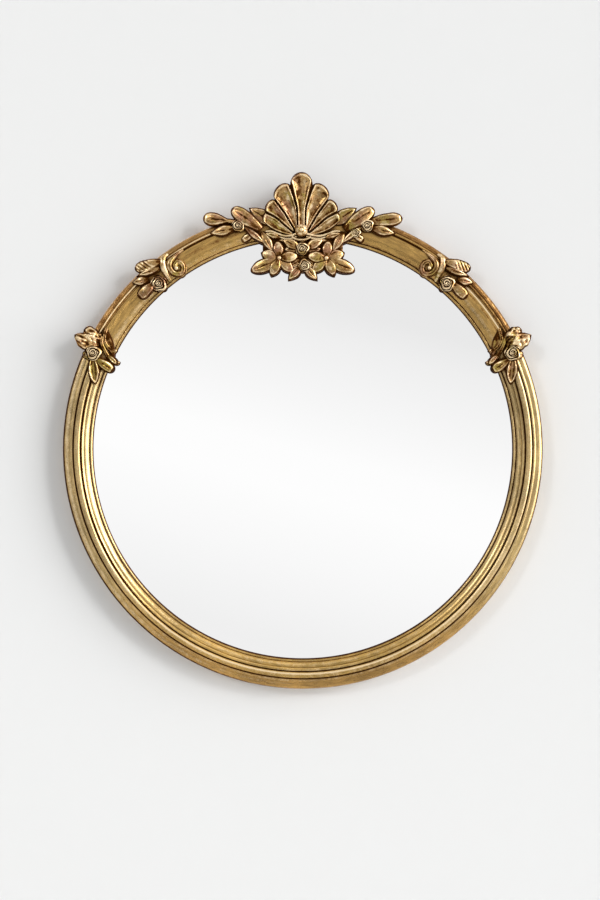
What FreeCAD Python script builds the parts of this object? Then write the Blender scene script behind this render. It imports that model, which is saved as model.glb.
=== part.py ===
# Round gilt wall mirror with a shell crest, leaves and roses; sizes in mm.
# Drawn face on, X to the right, Y up and Z out of the wall, then turned so that Z is up.
import FreeCAD, Part
import math
import os
from FreeCAD import Vector

os.makedirs("parts", exist_ok=True)

# Ring, seen from the front
OUTER_RADIUS = 305.0
LIP_WIDTH = 4.8
INNER_BAND_WIDTH = 11.4
BEAD_WIDTH = 9.8
OUTER_BAND_WIDTH = 12.0
ARCH_EDGE_WIDTH = 5.5
ARCH_RIDGE_WIDTH = 4.8
JOINT_ANGLE = 24.5

# Ring, from the wall to the front
BACK_RECESS = 7.0
RIM_WIDTH = 6.0
BOARD_THICKNESS = 3.0
GLASS_THICKNESS = 4.0
LIP_THICKNESS = 4.5
LIP_COVER = 8.0
BAND_RISE = 8.0
SIDE_HEIGHT = 14.0
QUIRK = 1.2
GROOVE_DEPTH = 1.8
GROOVE_HALF = 0.8
BEAD_SHOULDER = 2.4
INNER_BULGE = 1.2
EDGE_ROUND = 4.6
EDGE_DROP = 5.6
CUSHION_RISE = 2.9
RIDGE_RISE = 1.3
ARCH_EDGE_BULGE = 1.7
GLASS_CLEARANCE = 1.0
GLASS_CHAMFER = 0.6

# Dowels in the two joints
DOWEL_RADIUS = 3.0
DOWEL_LENGTH = 30.0

# Clips and screws on the back
BUTTON_COUNT = 6
BUTTON_REACH = 15.0
BUTTON_RADIUS = 5.0
BUTTON_THICKNESS = 1.2
BUTTON_GAP = 0.1
PIVOT_CLEARANCE = 0.08
SCREW_RADIUS = 1.6
SCREW_LENGTH = 12.0
HEAD_RADIUS = 3.5
HEAD_HEIGHT = 1.8
SLOT_WIDTH = 0.9

# Straps and rings
HANGER_ANGLE = 38.0
STRAP_LENGTH = 32.0
STRAP_WIDTH = 12.0
STRAP_THICKNESS = 1.0
STRAP_HOLE_PITCH = 16.0
STRAP_HOLE_END = 6.0
WIRE_RADIUS = 1.25
WIRE_CLEARANCE = 0.08
RING_SIDE_GAP = 0.5
RING_CORNER = 2.5
RING_LEG = 3.0

# Ornament
SHELL_THICKNESS = 12.0
SHELL_LEAN = 5.0
SHELL_RIM = 2.0
SHELL_ROOT = 2.6
SCOOP_LIFT = 0.6
UMBO_DROP = 9.0
LOBE_PITCH = 24.3
LOBE_LENGTHS = (74.0, 65.0, 56.0, 49.0)
LOBE_ENDS = (14.3, 11.2, 9.6, 7.4)
PEARL_RADIUS = 8.5
COLLAR_RADIUS = 3.0
GROUND_THICKNESS = 5.0
GLASS_AIR = 3.5
BERRY_RADIUS = 4.4
SCROLL_RADIUS = 3.4
MID_ANGLE = 41.0

# Sizes that follow
FACE_WIDTH = LIP_WIDTH + INNER_BAND_WIDTH + BEAD_WIDTH + OUTER_BAND_WIDTH
SIGHT_RADIUS = OUTER_RADIUS - FACE_WIDTH
FACE_MID = SIGHT_RADIUS + FACE_WIDTH / 2
RABBET_RADIUS = SIGHT_RADIUS + LIP_COVER
RIM_INNER = OUTER_RADIUS - RIM_WIDTH
LAND_MID = (RABBET_RADIUS + RIM_INNER) / 2
LIP_BACK = BACK_RECESS + BOARD_THICKNESS + GLASS_THICKNESS
LIP_FRONT = LIP_BACK + LIP_THICKNESS
BEAD_FOOT = LIP_FRONT + BAND_RISE
BAND_START = SIGHT_RADIUS + LIP_WIDTH
BEAD_START = BAND_START + INNER_BAND_WIDTH
BEAD_END = BEAD_START + BEAD_WIDTH
BAND_TOP = BEAD_FOOT - 2.0
GROOVE_FLOOR = BAND_TOP - GROOVE_DEPTH
RIDGE_END = OUTER_RADIUS - ARCH_EDGE_WIDTH
RIDGE_START = RIDGE_END - ARCH_RIDGE_WIDTH
EDGE_HEIGHT = BAND_TOP - EDGE_DROP
GROUND_BACK = LIP_BACK + GLASS_AIR
GROUND = GROUND_BACK + GROUND_THICKNESS
LOW_ANGLE = 90.0 - JOINT_ANGLE

ORIGIN = Vector(0, 0, 0)
OUT = Vector(0, 0, 1)


def line(start, end):
    return Part.LineSegment(start, end).toShape()


def bowed(start, end, rise):
    """Arc between two points, raised towards the front by the rise at its middle."""
    chord = end - start
    normal = Vector(-chord.z, 0, chord.x)
    normal.normalize()
    return Part.Arc(start, (start + end) * 0.5 + normal * rise, end).toShape()


def at(radius, depth):
    return Vector(radius, 0, depth)


def moulding(front, start_angle, span):
    """Arc of the ring: the shared back with its own front edges, turned about the centre."""
    back = [
        at(OUTER_RADIUS, EDGE_HEIGHT),
        at(OUTER_RADIUS, 0),
        at(RIM_INNER, 0),
        at(RIM_INNER, BACK_RECESS),
        at(RABBET_RADIUS, BACK_RECESS),
        at(RABBET_RADIUS, LIP_BACK),
        at(SIGHT_RADIUS, LIP_BACK),
        at(SIGHT_RADIUS, LIP_FRONT - QUIRK),
    ]
    edges = [line(a, b) for a, b in zip(back, back[1:])]
    lip = [
        bowed(at(SIGHT_RADIUS, LIP_FRONT - QUIRK), at(SIGHT_RADIUS + QUIRK, LIP_FRONT), QUIRK * 0.25),
        line(at(SIGHT_RADIUS + QUIRK, LIP_FRONT), at(BAND_START - QUIRK, LIP_FRONT)),
        line(at(BAND_START - QUIRK, LIP_FRONT), at(BAND_START, LIP_FRONT - QUIRK)),
    ]
    face = Part.Face(Part.Wire(edges + lip + front))
    face.rotate(ORIGIN, OUT, start_angle)
    return face.revolve(ORIGIN, OUT, span)


# Two arcs of the ring
band_foot = at(BAND_START, LIP_FRONT - QUIRK)
outer_foot = at(OUTER_RADIUS, EDGE_HEIGHT)
edge_start = at(OUTER_RADIUS - EDGE_ROUND, BAND_TOP)
bead_foot_in = at(BEAD_START, GROOVE_FLOOR)
bead_foot_out = at(BEAD_END, GROOVE_FLOOR)
bead_top_in = at(BEAD_START + BEAD_SHOULDER, BEAD_FOOT)
bead_top_out = at(BEAD_END - BEAD_SHOULDER, BEAD_FOOT)
lower_front = [
    bowed(band_foot, at(BEAD_START - GROOVE_HALF, BAND_TOP), INNER_BULGE),
    line(at(BEAD_START - GROOVE_HALF, BAND_TOP), bead_foot_in),
    bowed(bead_foot_in, bead_top_in, BEAD_SHOULDER * 0.3),
    line(bead_top_in, bead_top_out),
    bowed(bead_top_out, bead_foot_out, BEAD_SHOULDER * 0.3),
    line(bead_foot_out, at(BEAD_END + GROOVE_HALF, BAND_TOP)),
    line(at(BEAD_END + GROOVE_HALF, BAND_TOP), edge_start),
    bowed(edge_start, outer_foot, EDGE_ROUND * 0.3),
]
cushion_end = at(RIDGE_START - GROOVE_HALF, BAND_TOP)
ridge_foot_in = at(RIDGE_START + GROOVE_HALF, BAND_TOP)
ridge_foot_out = at(RIDGE_END - GROOVE_HALF, BAND_TOP)
arch_edge = at(RIDGE_END + GROOVE_HALF, BAND_TOP - GROOVE_HALF)
upper_front = [
    bowed(band_foot, cushion_end, CUSHION_RISE),
    line(cushion_end, at(RIDGE_START, GROOVE_FLOOR)),
    line(at(RIDGE_START, GROOVE_FLOOR), ridge_foot_in),
    bowed(ridge_foot_in, ridge_foot_out, RIDGE_RISE),
    line(ridge_foot_out, at(RIDGE_END, GROOVE_FLOOR)),
    line(at(RIDGE_END, GROOVE_FLOOR), arch_edge),
    bowed(arch_edge, outer_foot, ARCH_EDGE_BULGE),
]
lower = moulding(lower_front, 180 - JOINT_ANGLE, 180 + 2 * JOINT_ANGLE)
upper = moulding(upper_front, JOINT_ANGLE, 180 - 2 * JOINT_ANGLE)

made = {}

# Plate and board in the rabbet
glass = Part.makeCylinder(RABBET_RADIUS - GLASS_CLEARANCE, GLASS_THICKNESS)
glass = glass.makeChamfer(GLASS_CHAMFER, glass.Edges)
glass.translate(Vector(0, 0, LIP_BACK - GLASS_THICKNESS))
made["mirror_glass"] = glass
board = Part.makeCylinder(RABBET_RADIUS - GLASS_CLEARANCE, BOARD_THICKNESS)
board.translate(Vector(0, 0, BACK_RECESS))
made["backing_board"] = board

# Dowels along the ring at both joints
dowels = []
dowel_seats = (
    (RABBET_RADIUS + 2 * DOWEL_RADIUS, LIP_FRONT - 1.5),
    (RIM_INNER - DOWEL_RADIUS, BACK_RECESS + 2 * DOWEL_RADIUS),
)
for angle in (JOINT_ANGLE, 180 - JOINT_ANGLE):
    for radius, depth in dowel_seats:
        start = Vector(radius, -DOWEL_LENGTH / 2, depth)
        dowel = Part.makeCylinder(DOWEL_RADIUS, DOWEL_LENGTH, start, Vector(0, 1, 0))
        dowel.rotate(ORIGIN, OUT, angle)
        dowels.append(dowel)
made["frame_dowels"] = Part.makeCompound(dowels)


def screw(under_head):
    """Pan-head screw pointing to the front, its shank starting at the land."""
    head = Part.makeCylinder(HEAD_RADIUS, HEAD_HEIGHT)
    head = head.makeFillet(HEAD_HEIGHT * 0.45, [head.Edges[2]])
    for turn in (0, 90):
        slot = Part.makeBox(2 * HEAD_RADIUS * 0.55, SLOT_WIDTH, HEAD_HEIGHT)
        slot.translate(Vector(-HEAD_RADIUS * 0.55, -SLOT_WIDTH / 2, -HEAD_HEIGHT / 2))
        slot.rotate(ORIGIN, OUT, turn)
        head = head.cut(slot)
    head.translate(Vector(0, 0, -under_head - HEAD_HEIGHT))
    shank = Part.makeCylinder(SCREW_RADIUS, under_head + SCREW_LENGTH, Vector(0, 0, -under_head))
    point = Part.makeCone(SCREW_RADIUS, SCREW_RADIUS * 0.2, SCREW_RADIUS * 2, Vector(0, 0, SCREW_LENGTH))
    return head.fuse([shank, point]).removeSplitter()


# Clips that hold the board, each on its own screw
button_screws = []
plate = Part.makeCylinder(BUTTON_RADIUS, BUTTON_THICKNESS)
tongue = Part.makeBox(BUTTON_REACH, 2 * BUTTON_RADIUS, BUTTON_THICKNESS)
tongue.translate(Vector(-BUTTON_REACH, -BUTTON_RADIUS, 0))
end = Part.makeCylinder(BUTTON_RADIUS, BUTTON_THICKNESS, Vector(-BUTTON_REACH, 0, 0))
plate = plate.fuse([tongue, end]).removeSplitter()
plate = plate.cut(Part.makeCylinder(SCREW_RADIUS + PIVOT_CLEARANCE, BUTTON_THICKNESS))
plate.translate(Vector(LAND_MID, 0, BACK_RECESS - BUTTON_GAP - BUTTON_THICKNESS))
button_screw = screw(BUTTON_THICKNESS + 2 * BUTTON_GAP)
button_screw.translate(Vector(LAND_MID, 0, BACK_RECESS))
for index in range(BUTTON_COUNT):
    angle = index * 360.0 / BUTTON_COUNT
    made["turn_button_%d" % (index + 1)] = plate.rotated(ORIGIN, OUT, angle)
    button_screws.append(button_screw.rotated(ORIGIN, OUT, angle))
made["turn_button_screws"] = Part.makeCompound(button_screws)

# Strap and ring, drawn along X with Y across and Z away from the land
knuckle_in = WIRE_RADIUS + WIRE_CLEARANCE
knuckle_out = knuckle_in + STRAP_THICKNESS
strap = Part.makeBox(STRAP_LENGTH, STRAP_WIDTH, STRAP_THICKNESS, Vector(-STRAP_LENGTH, -STRAP_WIDTH / 2, 0))
tail = [e for e in strap.Edges if e.BoundBox.XMax < 0.1 - STRAP_LENGTH and e.BoundBox.ZLength > 0.1]
strap = strap.makeFillet(STRAP_WIDTH * 0.3, tail)
across = Vector(0, 1, 0)
knuckle_start = Vector(0, -STRAP_WIDTH / 2, knuckle_out)
strap = strap.fuse(Part.makeCylinder(knuckle_out, STRAP_WIDTH, knuckle_start, across)).removeSplitter()
strap = strap.cut(Part.makeCylinder(knuckle_in, STRAP_WIDTH, knuckle_start, across))
hole_places = (STRAP_HOLE_END - STRAP_LENGTH, STRAP_HOLE_END + STRAP_HOLE_PITCH - STRAP_LENGTH)
for place in hole_places:
    strap = strap.cut(Part.makeCylinder(SCREW_RADIUS, STRAP_THICKNESS, Vector(place, 0, 0)))
bar = STRAP_WIDTH / 2 + RING_SIDE_GAP
leg = bar + RING_CORNER
turn = RING_CORNER * (1 - math.sqrt(0.5))
top = RING_CORNER + RING_LEG
ring_path = [
    line(Vector(0, -bar, 0), Vector(0, bar, 0)),
    Part.Arc(Vector(0, bar, 0), Vector(turn, leg - turn, 0), Vector(RING_CORNER, leg, 0)).toShape(),
    line(Vector(RING_CORNER, leg, 0), Vector(top, leg, 0)),
    Part.Arc(Vector(top, leg, 0), Vector(top + leg, 0, 0), Vector(top, -leg, 0)).toShape(),
    line(Vector(top, -leg, 0), Vector(RING_CORNER, -leg, 0)),
    Part.Arc(Vector(RING_CORNER, -leg, 0), Vector(turn, turn - leg, 0), Vector(0, -bar, 0)).toShape(),
]
wire_section = Part.Wire(Part.makeCircle(WIRE_RADIUS, Vector(0, 0, 0), across))
ring = Part.Wire(ring_path).makePipeShell([wire_section], True, True)
ring.translate(Vector(0, 0, knuckle_out))
hanger_screws = []
strap_screw = screw(STRAP_THICKNESS)
for side, name in ((1, "right"), (-1, "left")):
    angle = HANGER_ANGLE if side > 0 else 180 - HANGER_ANGLE
    out = Vector(math.cos(math.radians(angle)), math.sin(math.radians(angle)), 0)
    along = Vector(-side * out.y, side * out.x, 0)
    turning = FreeCAD.Rotation(along, out * side, OUT * -1, "XYZ")
    place = FreeCAD.Placement(out * LAND_MID + OUT * BACK_RECESS, turning)
    made["hanger_strap_" + name] = strap.transformed(place.toMatrix())
    made["hanger_ring_" + name] = ring.transformed(place.toMatrix())
    for hole in hole_places:
        fixed = strap_screw.copy()
        fixed.translate(out * LAND_MID + along * hole + OUT * BACK_RECESS)
        hanger_screws.append(fixed)
made["hanger_screws"] = Part.makeCompound(hanger_screws)

# Arcs drilled for dowels and screws
drills = dowels + button_screws + hanger_screws
made["lower_moulding"] = lower.cut(drills)
made["upper_moulding"] = upper.cut(drills)

# Ornament: each piece is trimmed to seat on the ring and against its neighbours
tools = [lower, upper]

# Half widths and heights of a leaf from its root to its tip
BROAD = ((0.0, 0.40, 0.60), (0.25, 0.75, 0.92), (0.60, 1.0, 1.0), (0.86, 0.74, 0.80), (1.0, 0.26, 0.40))
POINTED = ((0.0, 0.45, 0.60), (0.28, 0.92, 1.0), (0.52, 1.0, 1.0), (0.80, 0.56, 0.72), (1.0, 0.20, 0.30))


def crest_at(x, up, depth):
    return Vector(x, FACE_MID + up, depth)


def arch_at(side, anchor, along, out, depth):
    """Point on the ring: an angle from the top, then mm along and outwards."""
    turned = math.radians(anchor) + along / FACE_MID
    radius = FACE_MID + out
    return Vector(side * radius * math.sin(turned), radius * math.cos(turned), depth)


def leaf(root, tip, width, crown, outline):
    """Leaf with two swelling halves and a sunk midrib, flat behind."""
    along = tip - root
    length = along.Length
    along.normalize()
    across = along.cross(OUT)
    across.normalize()
    up = across.cross(along)
    sections = []
    for place, breadth, rise in outline:
        centre = root + along * (length * place)
        half = width / 2 * breadth
        height = min(crown * rise, half * 0.95)
        edge_a = centre - across * half
        edge_b = centre + across * half
        swell_a = centre - across * (half * 0.52) + up * height
        swell_b = centre + across * (half * 0.52) + up * height
        rib = centre + up * (height * 0.66)
        edges = [
            line(edge_a, edge_b),
            Part.Arc(edge_b, swell_b, rib).toShape(),
            Part.Arc(rib, swell_a, edge_a).toShape(),
        ]
        sections.append(Part.Wire(edges))
    return Part.makeLoft(sections, True)


def seat(shape):
    """Trim a piece against all that is in place, and keep its body."""
    near = [tool for tool in tools if shape.BoundBox.intersect(tool.BoundBox)]
    if near:
        shape = shape.cut(near)
    body = max(shape.Solids, key=lambda solid: solid.Volume)
    return body


def add(name, *shapes):
    """Seat the shapes one after another and keep them as one node."""
    seated = []
    for shape in shapes:
        body = seat(shape)
        tools.append(body)
        seated.append(body)
    made[name] = seated[0] if len(seated) == 1 else Part.makeCompound(seated)


def rose(centre, radius):
    """Five cupped outer petals, three inner ones and a bud."""
    petals = []
    for index in range(5):
        turned = math.radians(90 + 72 * index)
        spot = Vector(math.cos(turned), math.sin(turned), 0) * (radius * 0.52)
        petals.append(Part.makeSphere(radius * 0.48, spot + OUT * (radius * 0.22)))
    cup = petals[0].fuse(petals[1:]).common(Part.makeCylinder(radius, radius * 0.66))
    cup = cup.cut(Part.makeCone(radius * 0.34, radius, radius * 0.5, Vector(0, 0, radius * 0.3)))
    inner = [Part.makeCylinder(radius * 0.42, radius * 0.42)]
    for index in range(3):
        turned = math.radians(30 + 120 * index)
        spot = Vector(math.cos(turned), math.sin(turned), 0) * (radius * 0.24)
        inner.append(Part.makeSphere(radius * 0.30, spot + OUT * (radius * 0.50)))
    inner.append(Part.makeSphere(radius * 0.22, Vector(0, 0, radius * 0.76)))
    whole = cup.fuse(inner).removeSplitter()
    whole.translate(centre)
    return whole


def add_rose(name, centre, radius):
    """Seat a rose; the leaves about it stop at its round outline."""
    made[name] = seat(rose(centre, radius))
    tools.append(Part.makeCylinder(radius, radius * 2, centre - OUT * (radius * 0.3)))


# Ground of the crest below the shell
ground_outline = ((-34, -13), (-34, -44), (-20, -56), (0, -62), (20, -56), (34, -44), (34, -13), (-34, -13))
ground_wire = Part.makePolygon([crest_at(x, up, GROUND_BACK) for x, up in ground_outline])
add("crest_base", Part.Face(ground_wire).extrude(OUT * GROUND_THICKNESS))

# Pearl and shell
umbo = crest_at(0, -UMBO_DROP, GROUND)
pearl_place = umbo + OUT * (SHELL_THICKNESS * 0.75)
add("crest_pearl", Part.makeSphere(PEARL_RADIUS, pearl_place))


def lobe(turned, length, end):
    """Tapered lobe of the shell with a round end, and the scoop that hollows it."""
    reach = length - end
    slope = (end - SHELL_ROOT) / reach
    flank = math.sqrt(1 - slope * slope)
    root_a = Vector(-SHELL_ROOT * slope, SHELL_ROOT * flank, 0)
    end_a = Vector(reach - end * slope, end * flank, 0)
    root_b = Vector(root_a.x, -root_a.y, 0)
    end_b = Vector(end_a.x, -end_a.y, 0)
    edges = [
        line(root_b, end_b),
        Part.Arc(end_b, Vector(length, 0, 0), end_a).toShape(),
        line(end_a, root_a),
        line(root_a, root_b),
    ]
    body = Part.Face(Part.Wire(edges)).extrude(OUT * SHELL_THICKNESS)
    wide = (end - SHELL_RIM) / math.sqrt(1 - SCOOP_LIFT * SCOOP_LIFT)
    narrow = wide * 0.10
    start = Vector(reach * 0.10, 0, SHELL_THICKNESS + narrow * SCOOP_LIFT)
    finish = Vector(reach, 0, SHELL_THICKNESS + wide * SCOOP_LIFT)
    axis = finish - start
    scoop = Part.makeCone(narrow, wide, axis.Length, start, axis).fuse(Part.makeSphere(wide, finish))
    return body.rotated(ORIGIN, OUT, turned), scoop.rotated(ORIGIN, OUT, turned)


lobes = []
scoops = []
for step in (0, 1, -1, 2, -2, 3, -3):
    body, scoop = lobe(90 + step * LOBE_PITCH, LOBE_LENGTHS[abs(step)], LOBE_ENDS[abs(step)])
    lobes.append(body)
    scoops.append(scoop)
shell = lobes[0].fuse(lobes[1:]).cut(scoops)
shell.rotate(ORIGIN, Vector(1, 0, 0), -SHELL_LEAN)
shell.translate(umbo)
add("crest_shell", shell)

# Roses on the centre line and in the sprays
add_rose("crest_rose_upper", crest_at(0, -32, GROUND - 1), 8.5)
add_rose("crest_rose_lower", crest_at(1.5, -53, GROUND - 1), 8.5)
for side, name in ((-1, "left"), (1, "right")):
    add_rose("spray_rose_" + name, arch_at(side, 0, 79.5, 8.5, BEAD_FOOT - 3.5), 8.2)
    add_rose("mid_rose_" + name, arch_at(side, MID_ANGLE, 0, -7, LIP_FRONT + 2.5), 10.8)
    add_rose("low_rose_" + name, arch_at(side, LOW_ANGLE, 0, 7.4, BEAD_FOOT - 3), 11.5)
add_rose("spray_small_rose_right", arch_at(1, 0, 70.4, -5, LIP_FRONT + 4), 6.6)

# Lip under the shell
swags = []
for side in (-1, 1):
    start = crest_at(side * 6.5, -17, GROUND + 2)
    middle = crest_at(side * 25, -19, GROUND + 1)
    finish = crest_at(side * 47, -12, GROUND + 1)
    path = Part.Wire(Part.Arc(start, middle, finish).toShape())
    tangent = path.Edges[0].tangentAt(path.Edges[0].FirstParameter)
    section = Part.Wire(Part.makeCircle(COLLAR_RADIUS, start, tangent))
    swags.append(path.makePipeShell([section], True, True))
add("crest_collar", *swags)

# Petals of a flower: where the tip lies from the berry, outwards and up, and the width
PETALS = ((24.5, 5.5, 10.5), (2, 19.5, 10.5), (-20.5, 1, 9.5), (-19.5, -15, 10), (11, -21, 9))
for side, name in ((-1, "left"), (1, "right")):
    # Berry with five petals
    heart = crest_at(side * 29.5, -43, GROUND + 1.5)
    berry = Part.makeSphere(BERRY_RADIUS, heart + OUT * 3)
    petals = [berry]
    for away, up, width in PETALS:
        reach = Vector(side * away, up, 0)
        root = heart + reach * (BERRY_RADIUS * 0.7 / reach.Length)
        petals.append(leaf(root - OUT * 2, heart + reach - OUT * 2, width, 5, BROAD))
    add("crest_flower_" + name, *petals)
    # Large low leaf
    big = leaf(crest_at(side * 34, -46, GROUND - 2), crest_at(side * 65, -59.5, GROUND - 3.5), 16.5, 7, BROAD)
    add("crest_bunch_leaf_" + name, big)

bottom = []
flank = []
for side in (-1, 1):
    bottom.append(
        leaf(crest_at(side * 5, -56, GROUND - 2), crest_at(side * 18.5, -70.5, GROUND - 3), 9.5, 4.5, POINTED)
    )
    flank.append(
        leaf(crest_at(side * 7, -32, GROUND - 1), crest_at(side * 25.5, -20.5, GROUND - 1), 9.5, 5, POINTED)
    )
add("crest_bottom_leaves", *bottom)
add("crest_flank_leaves", *flank)

for side, name in ((-1, "left"), (1, "right")):
    # Spray beside the shell
    inner = leaf(arch_at(side, 0, 56, -2, GROUND), arch_at(side, 0, 81, 32, GROUND - 1), 16, 8.5, BROAD)
    add("spray_inner_leaf_" + name, inner)
    outer_up = leaf(
        arch_at(side, 0, 85, 13, BEAD_FOOT - 7), arch_at(side, 0, 114, 36, SIDE_HEIGHT + 4), 14, 7, BROAD
    )
    outer_low = leaf(
        arch_at(side, 0, 86, 8, BEAD_FOOT - 2), arch_at(side, 0, 115, 10.5, BEAD_FOOT - 4), 12, 6, BROAD
    )
    add("spray_outer_leaves_" + name, outer_up, outer_low)
    curl_root = arch_at(side, 0, 73, 1, LIP_FRONT + 5)
    curl_tip = arch_at(side, 0, 56, -20, LIP_FRONT)
    stem_root = crest_at(side * 56, -15, LIP_FRONT + 2)
    stem_tip = crest_at(side * 34, -34, LIP_FRONT + 1)
    curl_leaf = leaf(curl_root, curl_tip, 10, 5, POINTED)
    stem_leaf = leaf(stem_root, stem_tip, 11, 5.5, POINTED)
    add("spray_stem_leaves_" + name, curl_leaf, stem_leaf)
    wing = leaf(crest_at(side * 44, 2, GROUND - 1), crest_at(side * 68, 20.5, GROUND - 2), 15, 7.5, POINTED)
    add("crest_wing_" + name, wing)

    # Cluster half way down the arch
    scroll_points = (
        (-20, 17, SIDE_HEIGHT + 5),
        (-16, 8, BEAD_FOOT - 0.5),
        (-16, -3, LIP_FRONT + 5),
        (-21, -13, LIP_FRONT + 3),
        (-31, -15, LIP_FRONT + 3),
        (-39, -8, LIP_FRONT + 4),
        (-38, 1, LIP_FRONT + 6),
        (-31, 4, LIP_FRONT + 7),
        (-27, -2, LIP_FRONT + 8),
    )
    spots = [arch_at(side, MID_ANGLE, along, out, depth) for along, out, depth in scroll_points]
    curve = Part.BSplineCurve()
    curve.interpolate(spots)
    path = Part.Wire(curve.toShape())
    section = Part.Wire(Part.makeCircle(SCROLL_RADIUS, spots[0], curve.tangent(curve.FirstParameter)[0]))
    scroll = path.makePipeShell([section], True, True)
    add("mid_scroll_" + name, scroll)
    ear_root = arch_at(side, MID_ANGLE, -14, 10, BEAD_FOOT - 6)
    ear_tip = arch_at(side, MID_ANGLE, 7, 29, SIDE_HEIGHT + 3)
    add("mid_ear_" + name, leaf(ear_root, ear_tip, 15, 8, BROAD))
    fold_root = arch_at(side, MID_ANGLE, 5, 4, BEAD_FOOT - 2.5)
    fold_tip = arch_at(side, MID_ANGLE, 23, 17.5, SIDE_HEIGHT + 4)
    fold = leaf(fold_root, fold_tip, 11, 6, POINTED)
    round_root = arch_at(side, MID_ANGLE, 9, -3, LIP_FRONT + 4.5)
    round_tip = arch_at(side, MID_ANGLE, 33, -1, LIP_FRONT + 4)
    round_leaf = leaf(round_root, round_tip, 13, 7, BROAD)
    add("mid_leaves_" + name, fold, round_leaf)

    # Cluster over the joint of the ring
    hanging_root = arch_at(side, LOW_ANGLE, 8, 5.5, BEAD_FOOT - 1)
    hanging_tip = arch_at(side, LOW_ANGLE, 37, -8, LIP_FRONT + 3)
    hanging = leaf(hanging_root, hanging_tip, 13.5, 7, BROAD)
    inward_root = arch_at(side, LOW_ANGLE, 0, 0, LIP_FRONT + 4)
    inward_tip = arch_at(side, LOW_ANGLE, 10, -26, LIP_FRONT)
    inward = leaf(inward_root, inward_tip, 15, 6.5, BROAD)
    add("low_leaves_" + name, hanging, inward)
    husk_root = arch_at(side, LOW_ANGLE, -34, 10, BEAD_FOOT - 3)
    husk_tip = arch_at(side, LOW_ANGLE, -4.5, -23, LIP_FRONT)
    add("low_scroll_leaf_" + name, leaf(husk_root, husk_tip, 13, 6.5, POINTED))
    main_root = arch_at(side, LOW_ANGLE, -14, 10, BEAD_FOOT - 5)
    main_tip = arch_at(side, LOW_ANGLE, -8, 38, SIDE_HEIGHT + 2)
    ear_main = leaf(main_root, main_tip, 13, 8, POINTED)
    behind_root = arch_at(side, LOW_ANGLE, -26, 12, BEAD_FOOT - 6)
    behind_tip = arch_at(side, LOW_ANGLE, -19, 31, SIDE_HEIGHT + 3)
    ear_behind = leaf(behind_root, behind_tip, 11, 7, BROAD)
    add("low_ear_" + name, ear_main, ear_behind)

# Turn every piece upright and write it
for name, shape in made.items():
    upright = shape.rotated(ORIGIN, Vector(1, 0, 0), 90)
    upright.exportStep("parts/%s.step" % name)
    print(name, len(upright.Solids), upright.isValid(), round(upright.Volume))
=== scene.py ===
# %% [markdown]
# A round wall mirror in a gilt ring, with a shell, leaves, scrolls and roses over its upper arch.
# The measured solids come in first as a fixed frame. Everything made below is dressed over them,
# in metres and in the same places, so each piece lands where the solids say.

# %% Load the frame
import math

import bmesh
import bpy
from mathutils import Matrix, Vector, noise


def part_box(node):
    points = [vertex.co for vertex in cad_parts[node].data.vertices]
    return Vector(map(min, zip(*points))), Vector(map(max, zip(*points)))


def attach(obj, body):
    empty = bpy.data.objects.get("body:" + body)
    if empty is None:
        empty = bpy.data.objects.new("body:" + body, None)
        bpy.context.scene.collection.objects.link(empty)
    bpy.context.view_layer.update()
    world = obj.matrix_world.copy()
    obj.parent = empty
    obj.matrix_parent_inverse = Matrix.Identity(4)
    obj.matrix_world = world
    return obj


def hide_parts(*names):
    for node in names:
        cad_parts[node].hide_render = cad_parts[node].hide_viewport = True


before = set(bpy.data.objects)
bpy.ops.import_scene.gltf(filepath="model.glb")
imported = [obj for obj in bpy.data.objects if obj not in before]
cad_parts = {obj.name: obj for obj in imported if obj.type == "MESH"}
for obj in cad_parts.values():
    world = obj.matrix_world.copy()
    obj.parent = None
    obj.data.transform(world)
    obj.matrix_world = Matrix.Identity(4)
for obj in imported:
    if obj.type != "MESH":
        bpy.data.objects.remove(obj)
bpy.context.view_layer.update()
scene = bpy.context.scene
scene.view_settings.view_transform = "Standard"

# %% [markdown]
# A few measures are read from the frame, so that the dressing follows it: the outer radius from the
# lower moulding, the sight radius and the depth of the lip from the glass behind it. The others are
# the depths and the angles from the top at which the ornament sits.
# MM turns the small sizes below, which a carver would give in millimetres, into metres.

# %% Measures from the frame
MM = 0.001
OUT = Vector((0, -1, 0))
SIDES = ((-1, "left"), (1, "right"))
ring_low, ring_high = (Vector(corner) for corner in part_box("lower_moulding"))
glass_low, glass_high = (Vector(corner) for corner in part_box("mirror_glass"))
LIP_COVER = 7.0
OUTER = round((ring_high.x - ring_low.x) / 2 / MM, 1)
SIGHT = round((glass_high.x - glass_low.x) / 2 / MM, 1) - LIP_COVER
FACE_MID = (OUTER + SIGHT) / 2
LIP_BACK = -glass_low.y / MM
LIP_FRONT = LIP_BACK + 4.5
BEAD_FOOT = LIP_FRONT + 8.0
SIDE_HEIGHT = 14.0
GROUND = LIP_BACK + 8.5
MID_ANGLE = 41.0
LOW_ANGLE = 65.5
print("outer", OUTER, "sight", SIGHT, "lip", LIP_FRONT)

# %% [markdown]
# The camera stands square before the glass. Its distance and lens are chosen so that one picture
# element covers the same width of the ring as in the photograph, and a small sideways step puts
# the ring's centre at the same place in the picture.

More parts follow.
